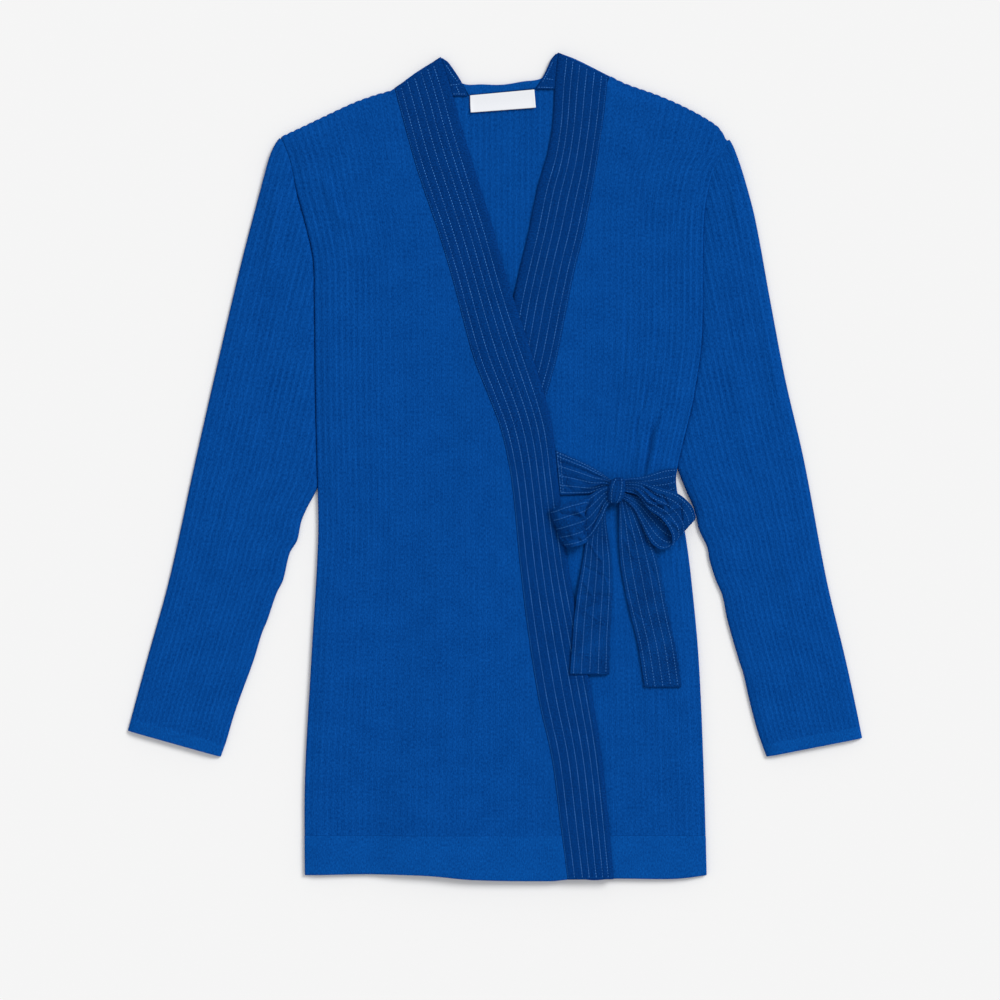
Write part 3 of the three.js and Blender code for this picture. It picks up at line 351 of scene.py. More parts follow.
def gridFaces(rows, columns, start=0, turned=False, ring=False):
    # four-sided faces between neighbours of points that are numbered row by row
    r = np.arange(rows - 1)[:, None]
    c = np.arange(columns if ring else columns - 1)[None, :]
    n = (c + 1) % columns
    quads = np.stack([r * columns + c, r * columns + n, (r + 1) * columns + n, (r + 1) * columns + c], -1)
    quads = quads.reshape(-1, 4)
    return (quads[:, ::-1] if turned else quads) + start


def borderOf(rows, columns):
    # the grid's outermost points, once round against the clock as seen from above
    bottom = np.arange(columns - 1)
    right = np.arange(rows - 1) * columns + columns - 1
    top = (rows - 1) * columns + np.arange(columns - 1, 0, -1)
    left = np.arange(rows - 1, 0, -1) * columns
    return np.concatenate([bottom, right, top, left])


def clothShell(name, upper, lower, uv, material, node, bulge=0.45, fields=None, strip=False):
    # a closed wall of cloth: an upper and a lower grid, joined by a rim that swells out halfway. The rim of
    # flat cloth swells level with the floor, that of a strip away from the next points inside it.
    rows, columns = upper.shape[:2]
    count = rows * columns
    border = borderOf(rows, columns)
    upper, lower, uv = upper.reshape(-1, 3), lower.reshape(-1, 3), uv.reshape(-1, 2)
    centre = (upper + lower) / 2
    middle = centre[border]
    if strip:
        steps = np.repeat([columns, -1, -columns, 1], [columns - 1, rows - 1, columns - 1, rows - 1])
        outward = middle - centre[border + steps]
    else:
        tangent = np.roll(middle, -1, 0) - np.roll(middle, 1, 0)
        outward = joined(tangent[:, 1], -tangent[:, 0], 0.0)
    points = np.concatenate([upper, lower, middle + unit(outward) * bulge])
    rim = 2 * count + np.arange(len(border))
    nextRim, nextBorder = np.roll(rim, -1), np.roll(border, -1)
    faces = np.concatenate([
        gridFaces(rows, columns),
        gridFaces(rows, columns, count, turned=True),
        np.stack([rim, nextRim, nextBorder, border], -1),
        np.stack([border + count, nextBorder + count, nextRim, rim], -1),
    ])
    if strip:
        faces = faces[:, ::-1]  # a strip's rows run along it and its columns across, the other way round
    for field, values in (fields or {}).items():
        flat = values.ravel()
        fields = {**fields, field: np.concatenate([flat, flat, flat[border]])}
    return makePiece(name, points, faces, np.concatenate([uv, uv, uv[border]]), material, node, fields)


# Materials
def srgb(code):
    # a hex colour as linear red, green, blue and alpha
    channels = [int(code[i : i + 2], 16) / 255 for i in (1, 3, 5)]
    return [c / 12.92 if c <= 0.04045 else ((c + 0.055) / 1.055) ** 2.4 for c in channels] + [1.0]


def addNode(material, kind, settings=None, links=None):
    # one node: settings go on its properties or sockets, links come from other nodes' outputs
    node = material.node_tree.nodes.new(kind)
    for key, value in (settings or {}).items():
        if isinstance(key, str) and hasattr(node, key):
            setattr(node, key, value)
        else:
            node.inputs[key].default_value = value
    for key, source in (links or {}).items():
        material.node_tree.links.new(source, node.inputs[key])
    return node


def newMaterial(name, roughness, specular):
    material = bpy.data.materials.new(name)
    material.use_nodes = True
    shader = material.node_tree.nodes["Principled BSDF"]
    shader.inputs["Roughness"].default_value = roughness
    shader.inputs["Specular IOR Level"].default_value = specular
    return material, shader


def calculator(material):
    # gives a function that adds one step of arithmetic on numbers and on other nodes' outputs
    def calc(operation, *values):
        node = material.node_tree.nodes.new("ShaderNodeMath")
        node.operation = operation
        for i, value in enumerate(values):
            if isinstance(value, (int, float)):
                node.inputs[i].default_value = value
            else:
                material.node_tree.links.new(value, node.inputs[i])
        return node.outputs[0]

    return calc


def noise(material, vector, scale, detail=2.0, roughness=0.5):
    settings = {"Scale": scale, "Detail": detail, "Roughness": roughness}
    return addNode(material, "ShaderNodeTexNoise", settings, {"Vector": vector}).outputs[0]


def drawnOut(material, vector, along):
    # the same places with those along the cloth closer together, which draws a pattern out along it
    return addNode(material, "ShaderNodeMapping", {"Scale": (1.0, along, 1.0)}, {"Vector": vector}).outputs[0]


def twoTone(material, shader, look, factor):
    # the colour runs from dark to light with the factor
    settings = {"data_type": "RGBA", "clamp_factor": True, 6: srgb(look["dark"]), 7: srgb(look["light"])}
    mixed = addNode(material, "ShaderNodeMix", settings, {0: factor})
    material.node_tree.links.new(mixed.outputs[2], shader.inputs["Base Color"])


def bumpy(material, shader, height, distance):
    settings = {"Strength": 1.0, "Distance": distance * mm}
    bump = addNode(material, "ShaderNodeBump", settings, {"Height": height})
    material.node_tree.links.new(bump.outputs[0], shader.inputs["Normal"])


def clothMaterial(name, look):
    # what both cloths share: places across and along them, a fine grain, and a tone that the grain and wider
    # patches make uneven: 0.5 + grain strength * (grain - 0.5) + patch strength * (patch - 0.5)
    material, shader = newMaterial(name, look["roughness"], look["specular"])
    calc = calculator(material)
    uv = addNode(material, "ShaderNodeUVMap", {"uv_map": "cloth"}).outputs[0]
    across, along = addNode(material, "ShaderNodeSeparateXYZ", links={0: uv}).outputs[:2]
    grain = noise(material, drawnOut(material, uv, look["grainDrawn"]), look["grainScale"], 3.0, 0.75)
    patch = noise(material, uv, look["patchScale"])
    tone = calc("MULTIPLY_ADD", calc("SUBTRACT", grain, 0.5), look["grain"], 0.5)
    tone = calc("MULTIPLY_ADD", calc("SUBTRACT", patch, 0.5), look["patch"], tone)
    return material, shader, calc, uv, across, along, grain, tone


knitLook = {
    "light": "#0e58ae",
    "dark": "#012f71",
    "roughness": 0.95,
    "specular": 0.0,
    "wale": 1.9,  # a column of stitches; the real one is about 0.8 mm, drawn coarse enough to show
    "course": 1.5,
    "slant": 0.35,  # how far a course climbs towards the middle of its wale, in courses
    "stitchDepth": 0.08,
    "grain": 1.9,
    "grainScale": 800.0,
    "grainDrawn": 0.5,
    "patch": 0.3,
    "patchScale": 45.0,
    # ribs and the sharpness below: how strong and how narrow the painted highlight on the rib crests and the
    # painted shade in their furrows are
    "ribs": 0.4,
    "crestHighlightSharpness": 2.2,
}


def knitMaterial(name, look, ribbed):
    # viscose rib knit, steamed flat: matt, sandy with small stitches, with a painted highlight along the
    # crests of the ribs and painted shade in the furrows between them
    material, shader, calc, uv, across, along, grain, tone = clothMaterial(name, look)
    # stitches: each wale is a round column, and its courses slant up to both sides as a V
    wale = calc("ABSOLUTE", calc("SINE", calc("MULTIPLY", across, math.pi / (look["wale"] * mm))))
    turns = calc("MULTIPLY_ADD", along, 1 / (look["course"] * mm), calc("MULTIPLY", wale, look["slant"]))
    course = calc("ABSOLUTE", calc("SINE", calc("MULTIPLY", turns, math.pi)))
    stitch = calc("MULTIPLY", wale, calc("MULTIPLY_ADD", course, 0.6, 0.4))
    if ribbed:
        # painted highlight along the narrow crests and painted shade in the furrows, coming and going along
        # their length
        highlightStreak = noise(material, drawnOut(material, uv, 0.12), 170.0)
        fading = calc("MULTIPLY_ADD", highlightStreak, 3.4, -1.0)
        turn = calc("COSINE", calc("MULTIPLY", across, 2 * math.pi / (cloth["ribPitch"] * mm)))
        crest = calc("POWER", calc("MULTIPLY_ADD", turn, -0.5, 0.5), look["crestHighlightSharpness"])
        strength = addNode(material, "ShaderNodeAttribute", {"attribute_name": "ribs"}).outputs["Fac"]
        line = calc("MULTIPLY", calc("SUBTRACT", crest, 0.36), calc("MULTIPLY", strength, fading))
        tone = calc("MULTIPLY_ADD", line, look["ribs"], tone)
    twoTone(material, shader, look, tone)
    bumpy(material, shader, calc("MULTIPLY_ADD", grain, 0.6, stitch), look["stitchDepth"])
    return material


wovenLook = {
    "light": "#09428c",
    "dark": "#03265d",
    "roughness": 0.8,
    "specular": 0.0,
    "thread": 0.9,  # the real weave is about 0.25 mm, drawn coarse enough to show
    "depth": 0.07,
    "grain": 3.0,
    "grainScale": 700.0,
    "grainDrawn": 1.0,
    "patch": 0.3,
    "patchScale": 40.0,
}


def wovenMaterial(name, look):
    # viscose crepe: a fine plain weave of twisted threads, matt and a little sandy
    material, shader, calc, uv, across, along, grain, tone = clothMaterial(name, look)
    turn = math.pi / (look["thread"] * mm)
    weave = calc("MULTIPLY", *(calc("SINE", calc("MULTIPLY", side, turn)) for side in (across, along)))
    twoTone(material, shader, look, tone)
    bumpy(material, shader, calc("MULTIPLY_ADD", grain, 2.0, weave), look["depth"])
    return material


def plainMaterial(name, dark, light, roughness, specular, scale):
    # one dyed thread or ribbon: an even colour with a fine grain in its height
    material, shader = newMaterial(name, roughness, specular)
    grain = noise(material, addNode(material, "ShaderNodeTexCoord").outputs["Object"], scale)
    twoTone(material, shader, {"dark": dark, "light": light}, grain)
    bumpy(material, shader, grain, 0.02)
    return material


ribKnit = knitMaterial("viscoseRibKnit", knitLook, ribbed=True)
turnedLook = {**knitLook, "light": "#0d5cb3", "dark": "#043478"}
plainKnit = knitMaterial("viscoseTurnedKnit", turnedLook, ribbed=False)
crepe = wovenMaterial("viscoseCrepe", wovenLook)
tieLook = {**wovenLook, "light": "#08458f", "dark": "#03265c", "specular": 0.01, "patch": 1.1}
tieCrepe = wovenMaterial("viscoseTieCrepe", tieLook)
stitchThread = plainMaterial("paleBlueThread", "#3a84d6", "#62aaf2", 0.7, 0.02, 400.0)
tieThread = plainMaterial("duskyBlueThread", "#3076c4", "#5697dd", 0.7, 0.02, 400.0)
seamThread = plainMaterial("blueSeamThread", "#1560b4", "#3580cc", 0.7, 0.01, 500.0)
ribbon = plainMaterial("whiteSatinRibbon", "#e7e9ef", "#f1f3f7", 0.5, 0.1, 1200.0)
print("materials made")


# Stitches
stitching = {
    "pitch": 2.8,
    "length": 2.0,
    "width": 0.75,
    "height": 0.35,
    "sink": 0.1,
    "depth": 0.15,
    "rings": (0.22, 0.78),
}
smallStitch = {"width": 0.6, "height": 0.25}


def stitchPiece(name, paths, material, **sizes):
    # a path is its points, their outward normals and maybe a size for each. A stitch is a slim grain with
    # two rings of four points between its tips, and its outer side stands out of the cloth.
    size = {**stitching, **sizes}
    blocks = []
    for path, normals, *scale in paths:
        run = np.concatenate([[0], np.cumsum(np.linalg.norm(np.diff(path, axis=0), axis=1))])
        starts = np.arange(size["pitch"] * 0.3, run[-1] - size["length"], size["pitch"])
        if len(starts) == 0:
            continue

        def at(values, place):
            return np.stack([np.interp(place, run, column) for column in values.T], -1)

        normal = unit(at(normals, starts + size["length"] / 2))
        tips = [at(path, starts), at(path, starts + size["length"])]
        side = unit(np.cross(normal, tips[1] - tips[0]))
        low = -normal * size["sink"]
        grow = np.interp(starts, run, scale[0])[:, None] if scale else 1.0
        aside = side * grow * size["width"] / 2
        rings = []
        for share in size["rings"]:
            centre = mix(tips[0], tips[1], share) + low
            crest = centre + normal * (size["height"] * grow + size["sink"])
            rings += [centre + aside, crest, centre - aside, centre - normal * size["depth"]]
        blocks.append(np.stack([tips[0] + low, *rings, tips[1] + low], 1))
    points = np.concatenate(blocks)
    k = np.arange(4)
    n = (k + 1) % 4
    triangles = np.concatenate([
        joined(0, 1 + n, 1 + k),
        joined(1 + k, 1 + n, 5 + n),
        joined(1 + k, 5 + n, 5 + k),
        joined(9, 5 + k, 5 + n),
    ])
    faces = (triangles[None] + points.shape[1] * np.arange(len(points))[:, None, None]).reshape(-1, 3)
    points = points.reshape(-1, 3)
    return makePiece(name, points, faces, points[:, :2], material)


# Rib panels
ribs = {
    "strength": 0.25,  # ribs stand up near the upper sides and at the tie, and are steamed flatter elsewhere
    "atSides": 0.45,
    "sideReach": 110.0,
    "below": 0.3,
    "belowFrom": (-150.0, 200.0),
    "atTie": 0.1,
    "tieAt": (130.0, 20.0),
    "tieReach": (50.0, 90.0),
    "shoulderBump": 0.8,
    "bumpReach": 6.0,
    "rows": {"right": 165, "left": 185, "back": 90},
    # how strongly the painted highlight and shade of the ribs show on the back
    "backPaintedRibLight": 0.4,
    "backHeight": 0.35,
    "backShown": (-66.0, 84.0, 120.0),  # where the open neck shows the back: from x, to x, up from y
    "fine": 1 / 4,  # columns lie this share of a pitch apart where ribs show
    "foldedFrom": 30.0,
}
panelBottom = outline["hemTop"]
pitch = cloth["ribPitch"]


def ribPlaces(start, stop, share=ribs["fine"]):
    step = pitch * share
    inner = np.arange(math.ceil(start / step + 0.3), math.floor(stop / step - 0.3) + 1) * step
    return np.concatenate([[start], inner, [stop]])


def panelGrid(r, endY, rowCount):
    # columns follow their ribs from the hem's seam up to where the panel ends
    inner = np.linspace(0, 1, rowCount)
    t = np.concatenate([[0, 0.0015], inner[1:-1], [0.9985, 1]])[:, None]
    y = mix(panelBottom, np.maximum(endY, panelBottom + 0.5)[None, :], t)
    return ribX(r[None, :], y), y


def ribStrength(x, y):
    # least + more towards the sides, most in the upper part + a little around the tie
    upper = ease((y - ribs["belowFrom"][0]) / ribs["belowFrom"][1])
    atSide = (1 - ease(fromSides(x, y) / ribs["sideReach"])) * mix(ribs["below"], 1, upper)
    atTie = bell(x - ribs["tieAt"][0], ribs["tieReach"][0]) * bell(y - ribs["tieAt"][1], ribs["tieReach"][1])
    return ribs["strength"] + ribs["atSides"] * atSide + ribs["atTie"] * atTie


def frontPanel(name, r, endY, rowCount, lowerZ, node):
    x, y = panelGrid(r, endY, rowCount)
    rib = ridges(r / pitch)
    # at the shoulder each rib ends in a small round bump
    atTop = (np.abs(endY - topLineY(x[-1])) < 0.5) * ease((y - endY) / ribs["bumpReach"] + 1)
    y = y + ribs["shoulderBump"] * (rib - 0.6) * atTop
    base = lowerZ(x, y)
    strength = ribStrength(x, y)
    upper = joined(x, y, base + cloth["knitWall"] + cloth["ribHeight"] * rib * strength)
    lower = joined(x, y, base)
    # the same strength sets how strongly the painted highlight and shade of the ribs show
    fields = {"ribs": strength}
    return clothShell(name, upper, lower, joined(r, y), ribKnit, node, 0.35, fields)


def panelEnds(r, isPast=lambda x, y: False):
    # where each rib, followed upwards from the hem, passes the band's seam or the top line
    low = np.full(r.shape, float(panelBottom))
    high = np.full(r.shape, 400.0)
    return firstPast(low, high, lambda y: isPast(ribX(r, y), y) | (y > topLineY(ribX(r, y))))


def withCorner(r, seamX, seamTop):
    # with the rib that ends just where the band's seam meets the shoulder, as two columns close together
    target = float(seamX(seamTop))
    corner = float(firstPast(-100.0, 160.0, lambda rib: ribX(rib, np.full(np.shape(rib), seamTop)) > target))
    return np.unique(np.concatenate([r, [corner - 0.02, corner + 0.02]]))


def rightFront():
    def endOf(r):
        return panelEnds(r, lambda x, y: x > rightSeamX(y) - 0.1)

    last = float(firstPast(0.0, 80.0, lambda r: endOf(np.atleast_1d(r))[0] < panelBottom + 1))
    r = withCorner(ribPlaces(rightArmpitX, last), rightSeamX, bands["tops"]["rightSeam"])
    return frontPanel("right_front", r, endOf(r), ribs["rows"]["right"], overZ, "front_panel_right")


def leftFront():
    def endOf(r):
        return panelEnds(r, lambda x, y: x < leftSeamX(y) + 0.1)

    first = float(firstPast(-60.0, 40.0, lambda r: endOf(np.atleast_1d(r))[0] > panelBottom + 1))
    hidden = ribPlaces(first, ribs["foldedFrom"], 1)
    r = np.concatenate([hidden[:-1], ribPlaces(ribs["foldedFrom"], leftArmpitX)])
    r = withCorner(r, leftSeamX, bands["tops"]["leftSeam"])
    return frontPanel("left_front", r, endOf(r), ribs["rows"]["left"], underZ, "front_panel_left")


def backPanel():
    # fine columns and raised ribs only where the open neck shows them
    fromX, toX, fromY = ribs["backShown"]
    fineFrom, fineTo = fromX + 4, toX - 4
    r = np.concatenate([
        ribPlaces(rightArmpitX, fineFrom, 1)[:-1],
        ribPlaces(fineFrom, fineTo)[:-1],
        ribPlaces(fineTo, leftArmpitX, 1),
    ])
    x, y = panelGrid(r, panelEnds(r), ribs["rows"]["back"])
    shown = ease((r - fromX) / 8) * ease((toX - r) / 8) * ease((y - fromY) / 30)
    inner = joined(x, y, cloth["knitWall"] + ribs["backHeight"] * ridges(r / pitch) * shown)
    fields = {"ribs": np.full(x.shape, ribs["backPaintedRibLight"])}
    outer = joined(x, y, floorZ(x, y))
    return clothShell("back", inner, outer, joined(r, y), ribKnit, "back_panel", 0.35, fields)


rightFrontPiece = rightFront()
leftFrontPiece = leftFront()
backPiece = backPanel()
print("body panels made")

# Hems
hem = {"more": 0.25, "seamRoll": 0.1, "seamReach": 0.9, "footRoll": 0.3, "footReach": 0.6}


def hemStrip(name, fromX, toX, lowerZ, node):
    # u runs across, t from the hem line up to the seam, where a row of stitches pulls it in
    u = np.linspace(0, 1, 150)[None, :]
    t = np.concatenate([[0, 0.012, 0.05], np.linspace(0.1, 0.94, 16), [0.97, 0.985, 1]])[:, None]
    foot = hemY(mix(fromX(outline["hemLevel"]), toX(outline["hemLevel"]), u))
    y = mix(foot, outline["hemTop"], t)
    x = mix(fromX(y), toX(y), u)
    base = lowerZ(x, y)
    atSeam = hem["seamRoll"] * bell(outline["hemTop"] - y, hem["seamReach"])
    roll = atSeam + hem["footRoll"] * bell(y - foot, hem["footReach"])
    upper = joined(x, y, base + cloth["knitWall"] + hem["more"] - roll)
    return clothShell(name, upper, joined(x, y, base), joined(x, y), plainKnit, node, 0.5)


rightHem = hemStrip("right_front_hem", rightSideX, rightSeamX, overZ, "front_hem_right")
leftHem = hemStrip("left_front_hem", leftSeamX, leftSideX, underZ, "front_hem_left")
backHem = hemStrip("back_hem_strip", rightSideX, leftSideX, floorZ, "back_hem")
print("hems made")


# Front bands
def bandLines(t):
    # the stitch lines' shares of the width at the height share t: even at the hem, wider at the edge above
    start, reach = bands["linesChange"]
    s = ease((t - start) / reach)
    return [mix(low, high, s) for low, high in zip(bands["linesLow"], bands["linesHigh"])]


def channelShape(u, t):
    # the cloth puffs up between stitch lines: a rounded arch over each channel
    marks = [0 * t, *bandLines(t), 0 * t + 1]
    arch = np.zeros(np.broadcast(u, t).shape)
    for low, high in zip(marks[:-1], marks[1:]):
        share = np.clip((u - low) / (high - low), 0, 1)
        arch = np.maximum(arch, np.sin(np.pi * share) ** 0.6 * (share > 0) * (share < 1))
    return arch


def frontBand(name, seamX, edgeX, seamTop, edgeTop, lowerZ, node):
    def place(u, t):
        # u runs from the seam to the free edge, t from the hem to the top
        seamY = mix(hemY(seamX(outline["hemLevel"])), seamTop, t)
        edgeY = mix(hemY(edgeX(outline["hemLevel"])), edgeTop, t)
        return mix(seamX(seamY), edgeX(edgeY), u), mix(seamY, edgeY, u)

    u = np.linspace(0, 1, 85)[None, :]
    t = np.concatenate([[0, 0.0012], np.linspace(0, 1, 210)[1:-1], [0.9988, 1]])[:, None]
    x, y = place(u, t)
    base = lowerZ(x, y)
    width = bands["width"]
    waveA, waveB, slant = bands["rippleWaves"]
    ripple = bands["ripple"] * np.sin(2 * np.pi * y / waveA + slant * u) * np.sin(2 * np.pi * y / waveB + 2)
    edges = 0.7 * bell((1 - u) * width, 1.3) + 0.35 * bell(u * width, 0.9)  # rounded down at both edges
    top = base + cloth["bandWall"] + cloth["channelHeight"] * channelShape(u, t) + ripple - edges
    uv = joined(u * width, y)
    piece = clothShell(name, joined(x, y, top), joined(x, y, base), uv, crepe, node)
    rows = np.linspace(0.001, 0.999, 700)

    def stitchPath(share, raised=0.0):
        px, py = place(share, rows)
        return joined(px, py, lowerZ(px, py) + cloth["bandWall"] + raised), upward(len(rows))

    stitches = stitchPiece(name + "_stitches", [stitchPath(share) for share in bandLines(rows)], stitchThread)
    # the seam to the knit: small close stitches just inside the band
    seamPath = stitchPath(bands["seamLine"], 0.2)
    seam = stitchPiece(name + "_seam", [seamPath], seamThread, pitch=2.2, length=1.5, **smallStitch)
    return piece, stitches, seam


tops = bands["tops"]
rightBand = frontBand(
    "right_band", rightSeamX, rightEdgeX, tops["rightSeam"], tops["rightEdge"], overZ, "band_right"
)
leftBand = frontBand(
    "left_band", leftSeamX, leftEdgeX, tops["leftSeam"], tops["leftEdge"], underZ, "band_left"
)
print("bands made")

# Sleeves
sleeves = {
    "right": {
        "outer": [
            (316, -200), (308, -207), (296, -213), (272, -220), (196, -240), (120, -258), (6, -284),
            (-108, -309), (-184, -330), (-256, -349.4),
        ],
        "inner": [
            (320, -83.5), (60, -148.5), (-18, -168), (-40, -179), (-52, -184), (-70, -188),
            (-82, -195), (-108, -201.5), (-120, -207.5), (-146, -216.5), (-158, -221.5),
            (-184, -229.5), (-222, -243.5), (-240, -249.5), (-262, -256), (-280, -262.5),
        ],
        "tip": 311.0, "cuffOuter": -251.0, "cuffInner": -275.5,
        "side": rightSideX, "sign": -1, "armpit": 158.0, "groove": (292.0, -40.0, 1.7),
    },
    "left": {
        "outer": [
            (316, 216), (308, 223.5), (296, 229), (272, 237), (234, 247), (158, 261), (82, 275.5),
            (6, 293), (-108, 314.5), (-184, 332.5), (-230, 342.5), (-262, 348.9),
        ],
        "inner": [
            (320, 101), (60, 159.5), (0, 173), (-20, 180.5), (-41, 189.5), (-60, 194), (-76, 201.5),
            (-89, 204), (-108, 210), (-122, 216), (-146, 221), (-184, 232), (-196, 236),
            (-222, 242), (-252, 250), (-280, 260),
        ],
        "tip": 309.5, "cuffOuter": -258.0, "cuffInner": -275.5,
        "side": leftSideX, "sign": 1, "armpit": 142.0, "groove": (165.0, -40.0, 0.6),
    },
    "drop": 25.0, "cuffRise": 11.64, "ribs": 20, "edgeZ": 2.3, "roundness": 4.0, "puff": 2.5,
    "sideRise": 1.4, "riseFrom": 235.0, "riseOver": 60.0, "width": 100.0, "inset": 1.6, "gap": -0.3,
    # ribStrength: how strongly the painted highlight and shade of the ribs show on the sleeves
    "grooveReach": 1.7, "ribStrength": 0.62, "ribHeight": 0.55,
}


class SleeveShape:
    # f runs across from the outer to the inner fold, q down the sleeve
    def __init__(self, side):
        self.row = sleeves[side]
        self.outerX = curveThrough(self.row["outer"])
        self.innerX = curveThrough(self.row["inner"])

    def ribPoint(self, f, q):
        outerY = mix(self.row["tip"], self.row["cuffOuter"] + sleeves["cuffRise"], q)
        innerY = mix(self.row["tip"] - sleeves["drop"], self.row["cuffInner"] + sleeves["cuffRise"], q)
        return mix(self.outerX(outerY), self.innerX(innerY), f), mix(outerY, innerY, f)

    def outOf(self, x, y):
        return self.row["sign"] * (x - self.row["side"](y))

    def dip(self, y, fromSide):
        # beside the body's rolled edge the sleeve lies lower, as deep as the groove is there
        top, foot, depth = self.row["groove"]
        return depth * ease((top - y) / 40) * ease((y - foot) / 30) * bell(fromSide, sleeves["grooveReach"])

    def startOf(self, share, inset):
        # where the rib comes out from under the side of the body
        def isOut(q):
            x, y = self.ribPoint(share, q)
            openAt = ease((y - self.row["armpit"]) / 8 + 0.5)
            return self.outOf(x, y) > sleeves["gap"] + inset * (1 - openAt)

        zero = np.zeros_like(share)
        return np.where(isOut(zero), 0.0, firstPast(zero, zero + 0.95, isOut))

    def shareAt(self, f, inset):
        return mix(inset / sleeves["width"], 1 - inset / sleeves["width"], f)

    def place(self, f, t, inset):
        share = self.shareAt(f, inset)
        return self.ribPoint(share, mix(self.startOf(share, inset), 1.0, t))

    def cuffPlace(self, f, t, inset):
        # straight from the end of the ribs to the cuff's edge
        share = self.shareAt(f, inset)
        nearX, nearY = self.ribPoint(share, np.ones_like(share))
        outerY, innerY = self.row["cuffOuter"], self.row["cuffInner"]
        endX = mix(float(self.outerX(outerY)), float(self.innerX(innerY)), share)
        return mix(nearX, endX, t), mix(nearY, mix(outerY, innerY, share), t)

    def topZ(self, x, y, f):
        # rises from each fold and from the side of the body in a soft shoulder
        inFold = np.minimum(f, 1 - f)
        fromFold = inFold * np.abs(self.outerX(y) - self.innerX(y))
        fromSide = np.maximum(0, self.outOf(x, y) - sleeves["gap"])
        sideRise = sleeves["sideRise"] * ease((y - sleeves["riseFrom"]) / sleeves["riseOver"])
        puff, roundness, start = sleeves["puff"], sleeves["roundness"], sleeves["edgeZ"] + sideRise
        atFold = start + puff * (1 - np.exp(-fromFold / roundness))
        atSide = start + (puff - sideRise) * (1 - np.exp(-fromSide / roundness))
        keep = ease(inFold * sleeves["width"] / 12)
        return np.minimum(atFold, atSide) + keep * foldHeight("sleeves", x, y) - self.dip(y, fromSide)


def tubeRing(place, topZ, t, columns, reliefOf, inset):
    # one tube of cloth as a ring of points for each t: over the top from fold to fold, then back below
    top = np.linspace(0, 1, columns)
    base = np.linspace(1, 0, columns // 3)
    f = np.concatenate([top, [1.0], base, [0.0]])[None, :]
    level = np.concatenate([np.ones(columns), [0.5], np.zeros(len(base)), [0.5]])[None, :]
    push = np.concatenate([np.zeros(columns), [1.0], np.zeros(len(base)), [-1.0]])[None, :]
    x, y = place(np.broadcast_to(f, (len(t), f.shape[1])), t[:, None], inset)
    z = topZ(x, y, f)
    wall = cloth["knitWall"]
    low = wall if inset else 0.0
    z = np.maximum(wall + 0.25, z - wall) if inset else z + reliefOf(f, t[:, None])
    across = joined(x, y)[:, columns - 1 : columns] - joined(x, y)[:, 0:1]
    side = push * (0.0 if inset else 0.5) / np.hypot(across[..., 0], across[..., 1])
    return joined(x + side * across[..., 0], y + side * across[..., 1], mix(low, z, level)), f


def tubePiece(shape, name, place, t, columns, relief, material, node):
    # an outer and an inner tube, joined at both open ends
    outer, f = tubeRing(place, shape.topZ, t, columns, relief, 0.0)
    inner, _ = tubeRing(place, shape.topZ, t, columns, relief, sleeves["inset"])
    across = f * sleeves["ribs"] * pitch if material is ribKnit else outer[..., 0]
    uv = joined(across, outer[..., 1])
    if shape.row["sign"] > 0:  # the ring runs the other way round on the other side
        outer, inner, uv = outer[:, ::-1], inner[:, ::-1], uv[:, ::-1]
    rows, ring = outer.shape[:2]
    count = rows * ring
    c = np.arange(ring)
    n = (c + 1) % ring
    last = (rows - 1) * ring
    faces = np.concatenate([
        gridFaces(rows, ring, turned=True, ring=True),
        gridFaces(rows, ring, count, ring=True),
        np.stack([c + count, n + count, n, c], -1),
        last + np.stack([n + count, c + count, c, n], -1),
    ])
    points = np.concatenate([outer.reshape(-1, 3), inner.reshape(-1, 3)])
    uv = uv.reshape(-1, 2)
    fields = {"ribs": np.full(len(points), sleeves["ribStrength"])}
    return makePiece(name, points, faces, np.concatenate([uv, uv]), material, node, fields)


def sleeveRelief(f, t):
    return cloth["ribHeight"] * sleeves["ribHeight"] * ridges(sleeves["ribs"] * f)


def cuffRelief(f, t):
    # a little thicker than the sleeve, drawn in at the seam and rounded at the edge
    return 0.2 - 0.25 * bell(t, 0.06) - 0.35 * bell(1 - t, 0.04)


sleeveRows = np.concatenate([np.linspace(0, 1, 125)[:-1] ** 1.5, [0.998, 1]])  # closer rows at the body
cuffRows = np.concatenate([[0, 0.03], np.linspace(0.08, 0.94, 9), [0.98, 1]])


def sleevePiece(shape, name, node):
    columns = 6 * sleeves["ribs"] + 1
    return tubePiece(shape, name, shape.place, sleeveRows, columns, sleeveRelief, ribKnit, node)


def cuffPiece(shape, name, node):
    return tubePiece(shape, name, shape.cuffPlace, cuffRows, 60, cuffRelief, plainKnit, node)


rightShape = SleeveShape("right")
leftShape = SleeveShape("left")
rightSleeve = sleevePiece(rightShape, "right_sleeve", "sleeve_right")
leftSleeve = sleevePiece(leftShape, "left_sleeve", "sleeve_left")
rightCuff = cuffPiece(rightShape, "right_cuff", "cuff_right")
leftCuff = cuffPiece(leftShape, "left_cuff", "cuff_left")
print("sleeves made")

